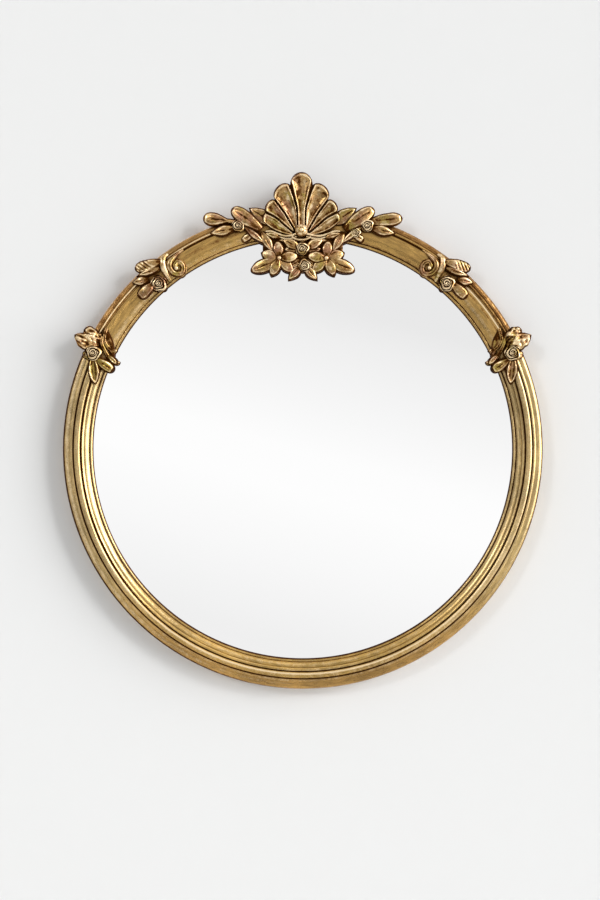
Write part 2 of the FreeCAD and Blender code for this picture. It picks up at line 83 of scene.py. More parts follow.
# %% Camera
IMAGE_WIDTH = 600
MM_PER_PIXEL = 1.274
PIXELS_SIDEWAYS, PIXELS_UP = -2.8, -1.1
SENSOR_WIDTH = 36.0
CAMERA_DISTANCE = 2.6
FACE_DEPTH = 0.020
pixel = MM_PER_PIXEL * MM
camera_data = bpy.data.cameras.new("camera")
camera_data.sensor_fit = "HORIZONTAL"
camera_data.sensor_width = SENSOR_WIDTH
camera_data.lens = SENSOR_WIDTH * (CAMERA_DISTANCE - FACE_DEPTH) / (IMAGE_WIDTH * pixel)
camera = bpy.data.objects.new("camera", camera_data)
camera.location = (PIXELS_SIDEWAYS * pixel, -CAMERA_DISTANCE, PIXELS_UP * pixel)
camera.rotation_euler = (math.radians(90), 0, 0)
scene.collection.objects.link(camera)
scene.camera = camera
print("lens", round(camera_data.lens, 1))


# %% [markdown]
# Materials are node graphs. They could be drawn by hand in the shader editor, but a script can be
# read and run again. A few short helpers keep it readable: one makes a node and sets its sockets,
# one mixes two colours, one does a sum, and one stretches a value between two limits.

# %% Node helpers
def feed(tree, socket, value):
    """Join a socket to another one, or set it to a plain value."""
    if isinstance(value, bpy.types.NodeSocket):
        tree.links.new(value, socket)
    else:
        socket.default_value = value


def set_up(tree, item, **values):
    """Keys that name a socket of the node feed that socket, others set a property."""
    for key, value in values.items():
        label = key.replace("_", " ")
        if label in item.inputs:
            feed(tree, item.inputs[label], value)
        else:
            setattr(item, key, value)
    return item


def make_node(tree, kind, **values):
    return set_up(tree, tree.nodes.new(kind), **values)


def mix_colour(tree, factor, first, second, blend="MIX"):
    item = make_node(tree, "ShaderNodeMix", data_type="RGBA", blend_type=blend)
    for index, value in ((0, factor), (6, first), (7, second)):
        feed(tree, item.inputs[index], value)
    return item.outputs[2]


def sum_up(tree, operation, first, second=0.0):
    item = make_node(tree, "ShaderNodeMath", operation=operation)
    feed(tree, item.inputs[0], first)
    feed(tree, item.inputs[1], second)
    return item.outputs[0]


def stretch(tree, source, low, high, from_value=0.0, to_value=1.0):
    item = make_node(tree, "ShaderNodeMapRange", interpolation_type="SMOOTHSTEP")
    for index, value in enumerate((source, low, high, from_value, to_value)):
        feed(tree, item.inputs[index], value)
    return item.outputs[0]


def clouds(tree, place, scale, detail, rough=0.55, distortion=0.0):
    return make_node(
        tree, "ShaderNodeTexNoise", Vector=place, Scale=scale, Detail=detail, Roughness=rough,
        Distortion=distortion,
    ).outputs[0]


def new_material(name):
    material = bpy.data.materials.new(name)
    material.use_nodes = True
    tree = material.node_tree
    place = make_node(tree, "ShaderNodeTexCoord").outputs["Object"]
    return material, tree, tree.nodes["Principled BSDF"], place


print("node helpers defined")

# %% [markdown]
# The mirror hangs on a pale wall. The wall is a plain sheet just behind the ring that only shows
# its room side and throws no shadow, so the back of the mirror can be looked at too. Wall and floor
# are staging: the picture shows them, but they are no part of the object.

# %% Wall and floor
SHEET_HALF = 3.0
WALL_GAP = 0.007
FLOOR_LEVEL, FLOOR_MIDDLE = -1.25, -1.5
WALL_COLOUR, FLOOR_COLOUR = (0.778, 0.778, 0.778, 1), (0.66, 0.66, 0.65, 1)


def stage_sheet(name, matrix, material):
    sheet = bmesh.new()
    bmesh.ops.create_grid(sheet, x_segments=1, y_segments=1, size=SHEET_HALF, matrix=matrix)
    mesh = bpy.data.meshes.new(name)
    sheet.to_mesh(mesh)
    sheet.free()
    mesh.materials.append(material)
    item = bpy.data.objects.new(name, mesh)
    scene.collection.objects.link(item)


wall_paint, tree, shader, place = new_material("wall_paint")
set_up(tree, shader, Base_Color=WALL_COLOUR, Roughness=0.9, Specular_IOR_Level=0.1)
side = make_node(tree, "ShaderNodeNewGeometry")
rays = make_node(tree, "ShaderNodeLightPath")
hidden = sum_up(tree, "MAXIMUM", side.outputs["Backfacing"], rays.outputs["Is Shadow Ray"])
clear = make_node(tree, "ShaderNodeBsdfTransparent")
choose = make_node(tree, "ShaderNodeMixShader")
for socket, source in zip(choose.inputs, (hidden, shader.outputs[0], clear.outputs[0])):
    tree.links.new(source, socket)
tree.links.new(choose.outputs[0], tree.nodes["Material Output"].inputs[0])
upright = Matrix.Rotation(math.radians(90), 4, "X")
stage_sheet("wall", Matrix.Translation((0, WALL_GAP, FLOOR_LEVEL + SHEET_HALF)) @ upright, wall_paint)

floor_paint, tree, shader, place = new_material("floor_paint")
set_up(tree, shader, Base_Color=FLOOR_COLOUR, Roughness=0.8)
stage_sheet("floor", Matrix.Translation((0, FLOOR_MIDDLE, FLOOR_LEVEL)), floor_paint)
print("wall and floor made")

# %% [markdown]
# The main light comes from the right, as the shadow in the photograph shows. A point lamp would
# throw a sharp shadow, so it is a sun with a wide angle, which blurs it. Two narrower suns in front
# are windows that glint in the gold, and an area lamp lights the back.

# %% Lamps
SUNS = (
    ("key", (0.87, -0.46, 0.17), 2.25, 50),
    ("window", (0.62, -0.70, 0.35), 0.50, 11),
    ("far_window", (-0.50, -0.80, 0.34), 0.38, 11),
)
BEHIND_PLACE, BEHIND_TOWARDS = (-1.2, 2.4, 1.2), (-0.4, 0.8, 0.4)
BEHIND_STRENGTH, BEHIND_SIZE = 80, 1.6


def add_lamp(name, kind, towards, strength):
    data = bpy.data.lights.new(name, kind)
    data.energy = strength
    lamp = bpy.data.objects.new(name, data)
    lamp.rotation_euler = (-Vector(towards)).to_track_quat("-Z", "Y").to_euler()
    scene.collection.objects.link(lamp)
    return lamp


for name, towards, strength, spread in SUNS:
    add_lamp(name, "SUN", towards, strength).data.angle = math.radians(spread)
back_light = add_lamp("behind", "AREA", BEHIND_TOWARDS, BEHIND_STRENGTH)
back_light.location = BEHIND_PLACE
back_light.data.size = BEHIND_SIZE
print("lamps", len(SUNS) + 1)

# %% [markdown]
# The world is a pale room. An image of a room would be one more file to keep, so a few ramps stand
# for it. For soft light it is one even grey. For reflections it is brighter to the right than to
# the left, which gives the gold its light and dark sides, and straight ahead of the glass it is
# white with a slow change from top to bottom, a little aslant, which is all the glass shows. Seen
# directly, past the edge of the wall, it is one pale grey.

# %% Room
ROOM_GREY, BACKDROP = (0.54, 0.545, 0.54, 1), (0.80, 0.80, 0.80, 1)
SIDE_VIEW = (
    (0.0, 0.22), (0.03, 0.40), (0.07, 0.88), (0.12, 0.84), (0.27, 0.26), (0.40, 0.47), (0.50, 0.60),
    (0.70, 0.66), (0.95, 0.84),
)
GLASS_VIEW = (
    (0.10, 0.88), (0.27, 0.955), (0.41, 1.0), (0.50, 0.995), (0.60, 0.945), (0.75, 0.875), (0.82, 0.825),
)
GLASS_SPAN, GLASS_TILT = 0.12, 0.285
DARKEST = 0.05
world = bpy.data.worlds.new("room")
scene.world = world
world.use_nodes = True
tree = world.node_tree
rays = make_node(tree, "ShaderNodeLightPath")
direction = make_node(tree, "ShaderNodeTexCoord").outputs["Generated"]
rightwards, inwards, upwards = make_node(tree, "ShaderNodeSeparateXYZ", Vector=direction).outputs


def shade_ramp(tree, source, low, high, stops):
    """Grey that runs through a few stops while the source goes from low to high."""
    level = make_node(tree, "ShaderNodeMapRange", clamp=True, Value=source, From_Min=low, From_Max=high)
    ramp = make_node(tree, "ShaderNodeValToRGB", Fac=level.outputs[0])
    while len(ramp.color_ramp.elements) < len(stops):
        ramp.color_ramp.elements.new(0.5)
    for element, (position, value) in zip(ramp.color_ramp.elements, stops):
        element.position = position
        element.color = (value, value, value, 1)
    return ramp.outputs[0]


sideways = shade_ramp(tree, rightwards, -1.0, 1.0, SIDE_VIEW)
overhead = stretch(tree, upwards, 0.55, 0.97, -0.06, 0.60)
floorwards = stretch(tree, upwards, 0.10, -0.45, 0.06, -0.14)
low_down = stretch(tree, upwards, -0.20, -0.65, 0.0, 0.45)
window_on_floor = sum_up(tree, "MULTIPLY", low_down, rightwards)
around = sum_up(tree, "ADD", sideways, sum_up(tree, "ADD", overhead, floorwards))
around = sum_up(tree, "MAXIMUM", sum_up(tree, "ADD", around, window_on_floor), DARKEST)
ahead = stretch(tree, inwards, -0.984, -0.9935)
aslant = sum_up(tree, "ADD", upwards, sum_up(tree, "MULTIPLY", rightwards, GLASS_TILT))
glass_view = shade_ramp(tree, aslant, -GLASS_SPAN, GLASS_SPAN, GLASS_VIEW)
reflected = mix_colour(tree, ahead, around, glass_view)
lit = mix_colour(tree, rays.outputs["Is Glossy Ray"], ROOM_GREY, reflected)
shown = mix_colour(tree, rays.outputs["Is Camera Ray"], lit, BACKDROP)
set_up(tree, tree.nodes["Background"], Color=shown, Strength=1.0)
print("room made")

# %% [markdown]
# Old gilding is metal leaf over a coloured ground, and its colour changes from place to place. A
# picture of real leaf could be wrapped on, but soft noise needs no picture and has no seam: three
# golds drift into each other in patches. On the ring more golds are laid in by height and by
# distance from the centre, paler at the sides and redder at the outer edge. The paler gold at the
# sides is partly a painted highlight, where the lamps at the sides light the ring. The grain on the
# ring runs round with the moulding, so its pattern is laid out by angle and distance.

# %% Golds
RING_GOLDS = ((0.60, 0.365, 0.110, 1), (0.51, 0.268, 0.088, 1), (0.53, 0.380, 0.095, 1))
CAST_GOLDS = ((0.54, 0.330, 0.128, 1), (0.46, 0.218, 0.124, 1), (0.50, 0.372, 0.074, 1))
SIDE_GOLD, BASE_GOLD = (0.66, 0.470, 0.205, 1), (0.63, 0.388, 0.102, 1)
ARCH_GOLD, RED_GROUND = (0.55, 0.325, 0.088, 1), (0.47, 0.245, 0.078, 1)
GRAIN_STRETCH = 0.05


def patched_gold(tree, place, golds):
    gold, copper, olive = golds
    coppery = stretch(tree, clouds(tree, place, 46.0, 4.0, 0.6, 0.4), 0.43, 0.66, 0.0, 0.85)
    greenish = stretch(tree, clouds(tree, place, 33.0, 3.0, 0.6, 0.6), 0.49, 0.68, 0.0, 0.85)
    return mix_colour(tree, greenish, mix_colour(tree, coppery, gold, copper), olive)


def ring_places(tree, place):
    """Height, distance from the centre, and the place laid out for the grain."""
    x, depth, height = make_node(tree, "ShaderNodeSeparateXYZ", Vector=place).outputs
    along = sum_up(tree, "MULTIPLY", sum_up(tree, "ARCTAN2", height, x), GRAIN_STRETCH)
    length = make_node(tree, "ShaderNodeVectorMath", operation="LENGTH", Vector=place)
    distance = length.outputs["Value"]
    laid = make_node(tree, "ShaderNodeCombineXYZ", X=along, Y=distance, Z=depth)
    return height, distance, laid.outputs[0]


def ring_tones(tree, gold, height, distance):
    """Lay the golds of the foot, the sides, the arch and the outer edge over the gold of the ring."""
    gold = mix_colour(tree, stretch(tree, height, -0.08, -0.22, 0.0, 0.8), gold, BASE_GOLD)
    off_middle = sum_up(tree, "ABSOLUTE", sum_up(tree, "ADD", height, 0.03))
    # Paler gold at the sides: partly the gold's own colour, partly painted highlight.
    gold = mix_colour(tree, stretch(tree, off_middle, 0.24, 0.10, 0.0, 0.8), gold, SIDE_GOLD)
    on_arch = stretch(tree, height, 0.115, 0.135)
    gold = mix_colour(tree, sum_up(tree, "MULTIPLY", on_arch, 0.75), gold, ARCH_GOLD)
    near_edge = stretch(tree, distance, 0.2990, 0.3030, 0.0, 0.75)
    gold = mix_colour(tree, sum_up(tree, "MULTIPLY", on_arch, near_edge), gold, RED_GROUND)
    at_foot = stretch(tree, height, -0.16, -0.26, 0.0, 0.55)
    outer_half = stretch(tree, distance, 0.2890, 0.2960)
    return mix_colour(tree, sum_up(tree, "MULTIPLY", at_foot, outer_half), gold, RED_GROUND)


print("golds", len(RING_GOLDS) + len(CAST_GOLDS) + 4)

# %% [markdown]
# The finish over the gold shows its age, and the same colours also carry painted light and shade.
# Glaze has stayed in the hollows, brown where it is thin and very dark where it is thick, and the
# high edges are rubbed bright; the dark colours also stand for painted shade in hollows, creases and
# between pieces, and the pale one for painted highlights on edges and raised parts. This could be
# painted on by hand, but paint would not follow a change of shape. So each carved piece carries a
# value on its vertices, 0 in the hollows and 1 on the edges, and ambient occlusion adds painted shade
# where two pieces meet.

# %% Gilt
# Brown and near black are glaze and also painted shade; the pale rubbed colour is wear and also painted
# highlight.
GLAZE_AND_SHADE, BROWN = (0.044, 0.0125, 0.0012, 1), (0.150, 0.060, 0.013, 1)
RUBBED_AND_HIGHLIGHT, WARM = (0.94, 0.715, 0.425, 1), (0.80, 0.40, 0.10, 1)
WHITE = (1.0, 1.0, 1.0, 1)
RING_PATCHES, CAST_PATCHES = 0.04, 0.18
COAT_ROUGHNESS = 0.22


def gilt(name, around_ring=False):
    material, tree, shader, place = new_material(name)
    if around_ring:
        height, distance, grain_place = ring_places(tree, place)
        gold = ring_tones(tree, patched_gold(tree, place, RING_GOLDS), height, distance)
        spread = RING_PATCHES
    else:
        grain_place = place
        gold = patched_gold(tree, place, CAST_GOLDS)
        spread = CAST_PATCHES
    streak = clouds(tree, grain_place, 420.0, 6.0, 0.65)
    speck = clouds(tree, place, 1000.0, 4.0, 0.7)
    patch = clouds(tree, place, 100.0, 3.0, 0.55, 0.8)
    drift = clouds(tree, place, 14.0, 2.0, 0.5, 0.3)
    fine = stretch(tree, streak, 0.30, 0.70, 0.72, 1.08)
    broad = stretch(tree, drift, 0.35, 0.65, 0.82, 1.15)
    gold = mix_colour(tree, 1.0, gold, sum_up(tree, "MULTIPLY", fine, broad), "MULTIPLY")

    wear_and_light = make_node(tree, "ShaderNodeAttribute", attribute_name="wear_and_light").outputs["Fac"]
    uneven = sum_up(tree, "ADD", wear_and_light, stretch(tree, speck, 0.2, 0.8, -0.10, 0.10))
    uneven = sum_up(tree, "ADD", uneven, stretch(tree, patch, 0.34, 0.66, -spread, spread))
    # Ambient occlusion darkens creases and the places where two pieces meet: painted shade, laid on as
    # glaze.
    hollow = make_node(tree, "ShaderNodeAmbientOcclusion", samples=8, Distance=0.007)
    occlusion_shade = stretch(tree, hollow.outputs["AO"], 0.76, 0.24, 0.0, 0.94)
    glaze_and_shade = sum_up(tree, "MAXIMUM", stretch(tree, uneven, 0.40, 0.04, 0.0, 0.96), occlusion_shade)
    # High values turn pale and less metallic, so they light up brighter: rubbed wear together with painted
    # highlight.
    wear_and_highlight = stretch(tree, uneven, 0.54, 0.85, 0.0, 0.94)
    gold = mix_colour(tree, wear_and_highlight, gold, RUBBED_AND_HIGHLIGHT)
    # Low values and occlusion turn brown, then near black: glaze together with painted shade.
    gold = mix_colour(tree, stretch(tree, glaze_and_shade, 0.0, 0.55), gold, BROWN)
    gold = mix_colour(tree, stretch(tree, glaze_and_shade, 0.45, 0.95), gold, GLAZE_AND_SHADE)

    metal = stretch(tree, glaze_and_shade, 0.0, 0.70, 0.95, 0.20)
    metal = sum_up(tree, "SUBTRACT", metal, sum_up(tree, "MULTIPLY", wear_and_highlight, 0.45))
    dull = stretch(tree, streak, 0.3, 0.75, 0.22, 0.36)
    dull = sum_up(tree, "ADD", dull, sum_up(tree, "MULTIPLY", glaze_and_shade, 0.2))
    grit = sum_up(tree, "ADD", streak, sum_up(tree, "MULTIPLY", speck, 0.4))
    grain = make_node(tree, "ShaderNodeBump", Strength=0.22, Distance=0.0004, Height=grit)
    shine = stretch(tree, glaze_and_shade, 0.0, 0.9, 0.5, 0.10)
    tint = mix_colour(tree, stretch(tree, glaze_and_shade, 0.0, 0.6), WHITE, WARM)
    set_up(tree, shader, Base_Color=gold, Metallic=metal, Roughness=dull, Normal=grain.outputs[0])
    set_up(tree, shader, Specular_IOR_Level=shine, Specular_Tint=tint)
    if around_ring:
        coat = stretch(tree, glaze_and_shade, 0.0, 0.6, 0.35, 0.0)
        set_up(tree, shader, Coat_Weight=coat, Coat_Roughness=COAT_ROUGHNESS)
    return material


gilt_ring = gilt("gilt_ring", around_ring=True)
gilt_casting = gilt("gilt_casting")
print("gilt of the ring has", len(gilt_ring.node_tree.nodes), "nodes")

# %% [markdown]
# The silvered plate is a nearly perfect metal mirror, with a faint change of roughness. The board
# behind it is brown pressed fibre, the clips, straps, rings and screws are dull zinc plate with a
# crystal pattern, and the dowels are beech. These solids have their true shape already, so they
# keep it and only get a finish.

# %% Glass, board, steel and dowels
silver, tree, shader, place = new_material("silvered_plate")
faint = stretch(tree, clouds(tree, place, 3.0, 2.0), 0.3, 0.7, 0.010, 0.025)
set_up(tree, shader, Base_Color=(0.985, 0.985, 0.985, 1), Metallic=1.0, Roughness=faint)

fibre, tree, shader, place = new_material("pressed_fibre")
strands = clouds(tree, place, 260.0, 7.0, 0.7, 1.2)
pale = stretch(tree, strands, 0.35, 0.68)
blots = stretch(tree, clouds(tree, place, 9.0, 3.0), 0.45, 0.7, 0.0, 0.35)
brown = mix_colour(tree, pale, (0.115, 0.066, 0.034, 1), (0.235, 0.145, 0.078, 1))
brown = mix_colour(tree, blots, brown, (0.15, 0.085, 0.045, 1))
felt = make_node(tree, "ShaderNodeBump", Strength=0.25, Distance=0.0004, Height=strands)
set_up(tree, shader, Base_Color=brown, Roughness=0.72, Normal=felt.outputs[0])

zinc, tree, shader, place = new_material("zinc_plate")
spangle = make_node(tree, "ShaderNodeTexVoronoi", Scale=420.0, Vector=place).outputs["Distance"]
grey = stretch(tree, spangle, 0.1, 0.7)
grey = mix_colour(tree, grey, (0.46, 0.46, 0.45, 1), (0.62, 0.61, 0.57, 1))
scuffs = stretch(tree, clouds(tree, place, 900.0, 5.0), 0.3, 0.7, 0.30, 0.50)
set_up(tree, shader, Base_Color=grey, Metallic=1.0, Roughness=scuffs)

beech, tree, shader, place = new_material("beech")
wood = mix_colour(tree, clouds(tree, place, 300.0, 4.0), (0.42, 0.27, 0.15, 1), (0.56, 0.39, 0.23, 1))
set_up(tree, shader, Base_Color=wood, Roughness=0.6)


def dress(node, material):
    """Give a solid of the frame its finish."""
    for material_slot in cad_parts[node].material_slots:
        material_slot.material = material


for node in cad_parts:
    if node.startswith(("turn_button", "hanger")):
        dress(node, zinc)
for node, material in (("mirror_glass", silver), ("backing_board", fibre), ("frame_dowels", beech)):
    dress(node, material)
print("finishes given to the frame")


# %% [markdown]
# Ornament is placed as a carver sets it out: an angle from the top of the ring, a distance along
# it, a distance outwards from the middle of the face, and a height off the wall. Every piece starts
# as an empty mesh with a value on its vertices for glaze, wear and painted light and shade, and
# ends hung on the frame body, where it stands for one solid.

# %% Setting out
def crest_at(x, up, depth):
    return Vector((x, -depth, FACE_MID + up)) * MM


def arch_at(hand, anchor, along, out, depth):
    turned = math.radians(anchor) + along / FACE_MID
    radius = FACE_MID + out
    return Vector((hand * radius * math.sin(turned), -depth, radius * math.cos(turned))) * MM


def start_piece():
    build = bmesh.new()
    build.verts.layers.float.new("wear_and_light")
    return build


def wear_and_light_layer(build):
    return build.verts.layers.float["wear_and_light"]


def put_piece(node, build, ending="_carved", material=None, crease=60):
    """Close a carved piece, hang it on the frame body and let it stand for its solid."""
    name = node + ending
    bmesh.ops.remove_doubles(build, verts=build.verts, dist=0.00001)
    bmesh.ops.recalc_face_normals(build, faces=build.faces)
    mesh = bpy.data.meshes.new(name)
    build.to_mesh(mesh)
    build.free()
    mesh.shade_smooth()
    mesh.set_sharp_from_angle(angle=math.radians(crease))
    mesh.materials.append(material or gilt_casting)
    piece = bpy.data.objects.new(name, mesh)
    scene.collection.objects.link(piece)
    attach(piece, "frame")
    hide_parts(node)
    print(name, len(mesh.polygons), "faces")


def bump_at(value, centre, width):
    return math.exp(-(((value - centre) / width) ** 2))


def held(value, low=0.0, high=1.0):
    return max(low, min(high, value))


print("top of the crest's ground", crest_at(0, 0, GROUND))


# %% [markdown]
# The outline of a moulding is made of a few kinds of line: a smooth line through knots, a shallow
# bow between two points, and a bead with round shoulders. They could be drawn by hand, but formulas
# keep the steps even, so that the spun surface is smooth. A point is a radius, a depth and a value
# for glaze, wear and painted light and shade.

# %% Lines of a profile
def smooth_line(knots, parts=8):
    """Points on a smooth line through a few knots."""
    points = []
    last = len(knots) - 1
    for index in range(last):
        p0, p1 = knots[max(index - 1, 0)], knots[index]
        p2, p3 = knots[index + 1], knots[min(index + 2, last)]
        for part in range(parts):
            t = part / parts
            point = p1 * 2 + (p2 - p0) * t + (p0 * 2 - p1 * 5 + p2 * 4 - p3) * t * t
            points.append((point + (p1 * 3 - p0 - p2 * 3 + p3) * t ** 3) / 2)
    points.append(knots[-1].copy())
    return points


def on_face(reach, depth):
    return SIGHT + reach, LIP_FRONT + depth


def bowed(start, end, rise, parts, dull=0.5, bright=0.6):
    """Points of a shallow arc between two profile points: radius, depth and the value for glaze, wear and
    painted light.
    """
    (r0, d0), (r1, d1) = start, end
    length = math.hypot(r1 - r0, d1 - d0)
    points = []
    for index in range(parts + 1):
        share = index / parts
        crown = 1 - (2 * share - 1) ** 2
        r = r0 + (r1 - r0) * share - (d1 - d0) / length * rise * crown
        d = d0 + (d1 - d0) * share + (r1 - r0) / length * rise * crown
        points.append((r, d, dull + (bright - dull) * crown))
    return points


def face_line(rows):
    line = []
    for row in rows:
        if isinstance(row[0], tuple):
            line += bowed(on_face(*row[0]), on_face(*row[1]), *row[2:])
        else:
            line.append((*on_face(*row[:2]), row[2]))
    return line


def round_top(start, end, foot, top, shoulder, dull, bright):
    """Profile of a bead with a nearly flat top and two round shoulders."""
    middle, half = (start + end) / 2, (end - start) / 2
    points = []
    for index in range(19):
        across = half * math.sin(math.pi / 2 * (index - 9) / 9)
        past = held((abs(across) - half + shoulder) / shoulder)
        depth = foot + (top - foot) * math.sqrt(1 - past * past) + 0.25 * (1 - (across / half) ** 2)
        points.append((*on_face(middle + across, depth), dull + (bright - dull) * (1 - past ** 3)))
    return points


print("a bow of five parts has", len(bowed((0, 0), (1, 0), 0.1, 5)), "points")

# %% [markdown]
# The ring is two lengths of moulding joined under the lower roses. A curve with a bevel shape could
# make it, but a chain of vertices that is spun keeps a value on every line of the profile. From
# the glass outwards the lower length has a lip, a sloping band with a fine line in it, a groove, a
# broad bead, a groove, a thin roll and a flat band with a round edge. The upper length has a lip, a
# broad cushion, a groove, a ridge and an outer roll. Each row of a face is one point, as a distance
# past the sight edge, a depth past the lip and a value, or a bowed stretch between two points. The
# values are low on the lip's wall next to the glass and over the round outer edge, painted shade of
# the gap at the glass and of the edge that turns away from the light, and low in the grooves, glaze
# with painted shade.

# %% Profiles of the ring
RECESS, RIM_WIDTH = 7.0, 6.0
LOWER_SIDE, UPPER_SIDE = 19.0, 17.5
EDGE_SWELL, ARCH_SWELL = 0.7, 1.2
EDGE_ROUNDING, EDGE_STEPS = 5.4, 9
FLAT_START, FLAT_DEPTH = 30.1, 6.1
# The first lip points, on the wall next to the glass, have the value 0: painted shade of the gap at the
# glass.
LIP = ((0.9, -2.0, 0.0), (1.3, -1.1, 0.1), ((1.6, -0.7), (4.2, -0.1), 0.45, 5, 0.45, 0.62))
LOWER_INNER = (
    (4.6, -0.4, 0.42), (4.9, 0.4, 0.44), ((5.3, 1.2), (11.2, 4.7), 0.7, 8, 0.5, 0.62),
    (11.6, 4.3, 0.22), ((12.0, 4.7), (15.3, 6.3), 0.4, 4, 0.5, 0.6), (15.9, 4.8, 0.06),
)
BEAD = {"start": 16.4, "end": 25.2, "foot": 4.8, "top": 7.8, "shoulder": 2.9, "dull": 0.06, "bright": 0.6}
LOWER_OUTER = ((25.8, 5.6, 0.25), ((26.4, 6.8), (29.2, 6.4), 0.35, 4, 0.5, 0.62))
UPPER_INNER = ((4.6, -0.5, 0.26), (4.9, 0.2, 0.34))
CUSHION_KNOTS = (
    (5.3, 1.4), (8, 3.6), (11, 4.9), (14, 5.5), (17, 5.6), (20, 5.4), (23, 5.0), (25, 4.8), (26.5, 4.8),
)
CUSHION_RUB = 0.50
UPPER_OUTER = (
    (27.3, 3.8, 0.06), (28.6, 3.8, 0.06), ((29.1, 5.1), (31.9, 5.2), 1.4, 7, 0.36, 0.80),
    (32.3, 4.2, 0.26), (32.9, 4.2, 0.28),
)
ROLL_START = (33.5, 4.8)


def back_profile(outer, side_height):
    rabbet = SIGHT + LIP_COVER + 1.0
    return [
        (outer, side_height, 0.4), (outer, 1.0, 0.3), (outer - 1.0, 0.0, 0.3),
        (OUTER - RIM_WIDTH, 0.0, 0.3), (OUTER - RIM_WIDTH, RECESS, 0.3), (rabbet, RECESS, 0.3),
        (rabbet, LIP_BACK, 0.2), (SIGHT + 0.2, LIP_BACK, 0.0),
    ]


def lower_profile():
    outer = OUTER + EDGE_SWELL
    flat = LIP_FRONT + FLAT_DEPTH
    line = back_profile(outer, LOWER_SIDE) + face_line(LIP + LOWER_INNER)
    line += round_top(**BEAD) + face_line(LOWER_OUTER)
    line += bowed((SIGHT + FLAT_START, flat + 0.2), (outer - EDGE_ROUNDING, flat), 0.05, 3, 0.5, 0.55)
    # Over the round outer edge the value falls to 0: painted shade of the edge that turns away from the
    # light.
    for step in range(1, EDGE_STEPS):
        turn = math.pi / 2 * step / EDGE_STEPS
        depth = LOWER_SIDE + (flat - LOWER_SIDE) * math.cos(turn)
        value = 0.55 - 0.55 * step / (EDGE_STEPS - 1)
        line.append((outer - EDGE_ROUNDING * (1 - math.sin(turn)), depth, value))
    return line


def upper_profile():
    outer = OUTER + ARCH_SWELL
    line = back_profile(outer, UPPER_SIDE) + face_line(LIP + UPPER_INNER)
    cushion = smooth_line([Vector((*on_face(*knot), 0)) for knot in CUSHION_KNOTS], 4)
    line += [(spot.x, spot.y, CUSHION_RUB) for spot in cushion] + face_line(UPPER_OUTER)
    return line + bowed(on_face(*ROLL_START), (outer, UPPER_SIDE), 1.9, 8, 0.36, 0.50)[:-1]


print("points of the profiles", len(lower_profile()), len(upper_profile()))

# %% [markdown]
# This table paints light and shade into the ring: painted highlights on some lines and painted
# shade on others, different on the left, on the right, at the foot and on the arch. Painting this by
# hand would take long, so it is a table. Each row says which part of the ring it belongs to, how
# much it adds to the value, at which distance from the sight edge, and how wide it is. An edge row
# rises over its width and then holds outwards.

# %% Painted light and shade of the ring
LOWER_BANDS = (
    ("both", -0.35, 15.2, 0.8), ("right", 0.20, 25.8, 0.6), ("right", -0.60, 4.9, 0.8),
    ("right", -0.30, 16.6, 0.8), ("right", -0.22, 31.2, 1.0), ("right", 0.15, 23.2, 1.0),
    ("right", 0.26, 35.0, 1.3), ("left", 0.24, 33.8, 2.4), ("left", -0.40, 24.8, 1.2),
    ("left", -0.45, 4.9, 0.9), ("left", -0.40, 14.6, 0.8), ("left", 0.15, 11.6, 0.5),
    ("foot", 0.40, 19.0, 0.9), ("foot", 0.36, 25.4, 0.9), ("foot", -0.40, 1.5, 0.8),
    ("foot", -0.25, 16.9, 0.6),
)
LOWER_EDGES = (("left", -0.55, 35.8, 0.8), ("foot", 0.20, 35.0, 2.0))
ARCH_BANDS = (
    ("left", 0.11, 9.0, 3.5), ("left below", 0.05, 9.0, 3.5), ("left above", 0.16, 4.8, 0.6),
    ("left above", -0.24, 18.5, 4.0), ("right below", 0.14, 12.5, 3.0), ("right below", -0.26, 22.0, 1.7),
    ("right", -0.20, 6.0, 2.4), ("right below", 0.08, 6.0, 2.4), ("below", 0.42, 28.0, 0.8),
    ("above", -0.26, 27.9, 1.5), ("right below", 0.55, 25.9, 1.2), ("right", -0.30, 4.8, 0.6),
    ("right", -0.25, 30.5, 1.5), ("right below", -0.30, 30.5, 1.5),
)
ARCH_EDGES = (("outer", -0.20, 33.0, 1.5),)


def ramp_at(value, start, width):
    return held((value - start) / width)


def lower_parts(sideways, down):
    """How much a place belongs to each side of the lower length and to its foot."""
    left, right, foot = held(-sideways), held(sideways), held((down - 0.3) / 0.5)
    return {"left": left, "right": right, "foot": foot, "both": left + right - foot * 0.5}


def arch_parts(sideways, down):
    """How much a place belongs to each side of the arch, above or below the middle clusters."""
    left, right = held(-sideways * 3), held(sideways * 3)
    below = held((abs(sideways) - 0.66) / 0.06)
    outer = max(right, below)
    return {"left": left, "right": right, "below": below, "above": 1 - below, "outer": outer}


def painted_light_at(reach, parts, bands, edges):
    change = 0.0
    for rows, shape in ((bands, bump_at), (edges, ramp_at)):
        for where, amount, centre, width in rows:
            share = math.prod(parts[part] for part in where.split())
            change += share * amount * shape(reach, centre, width)
    return change


print("rows of wear", len(LOWER_BANDS) + len(LOWER_EDGES), len(ARCH_BANDS) + len(ARCH_EDGES))

# %% [markdown]
# Each profile is spun round the centre, from one joint to the other. The front then gets the painted
# light and shade of the table and is made a little uneven by noise, as hand-finished gesso is, and
# the two ends are filled.

# %% Ring mouldings
JOINT = 90.0 - LOW_ANGLE
STEPS_PER_DEGREE = 2


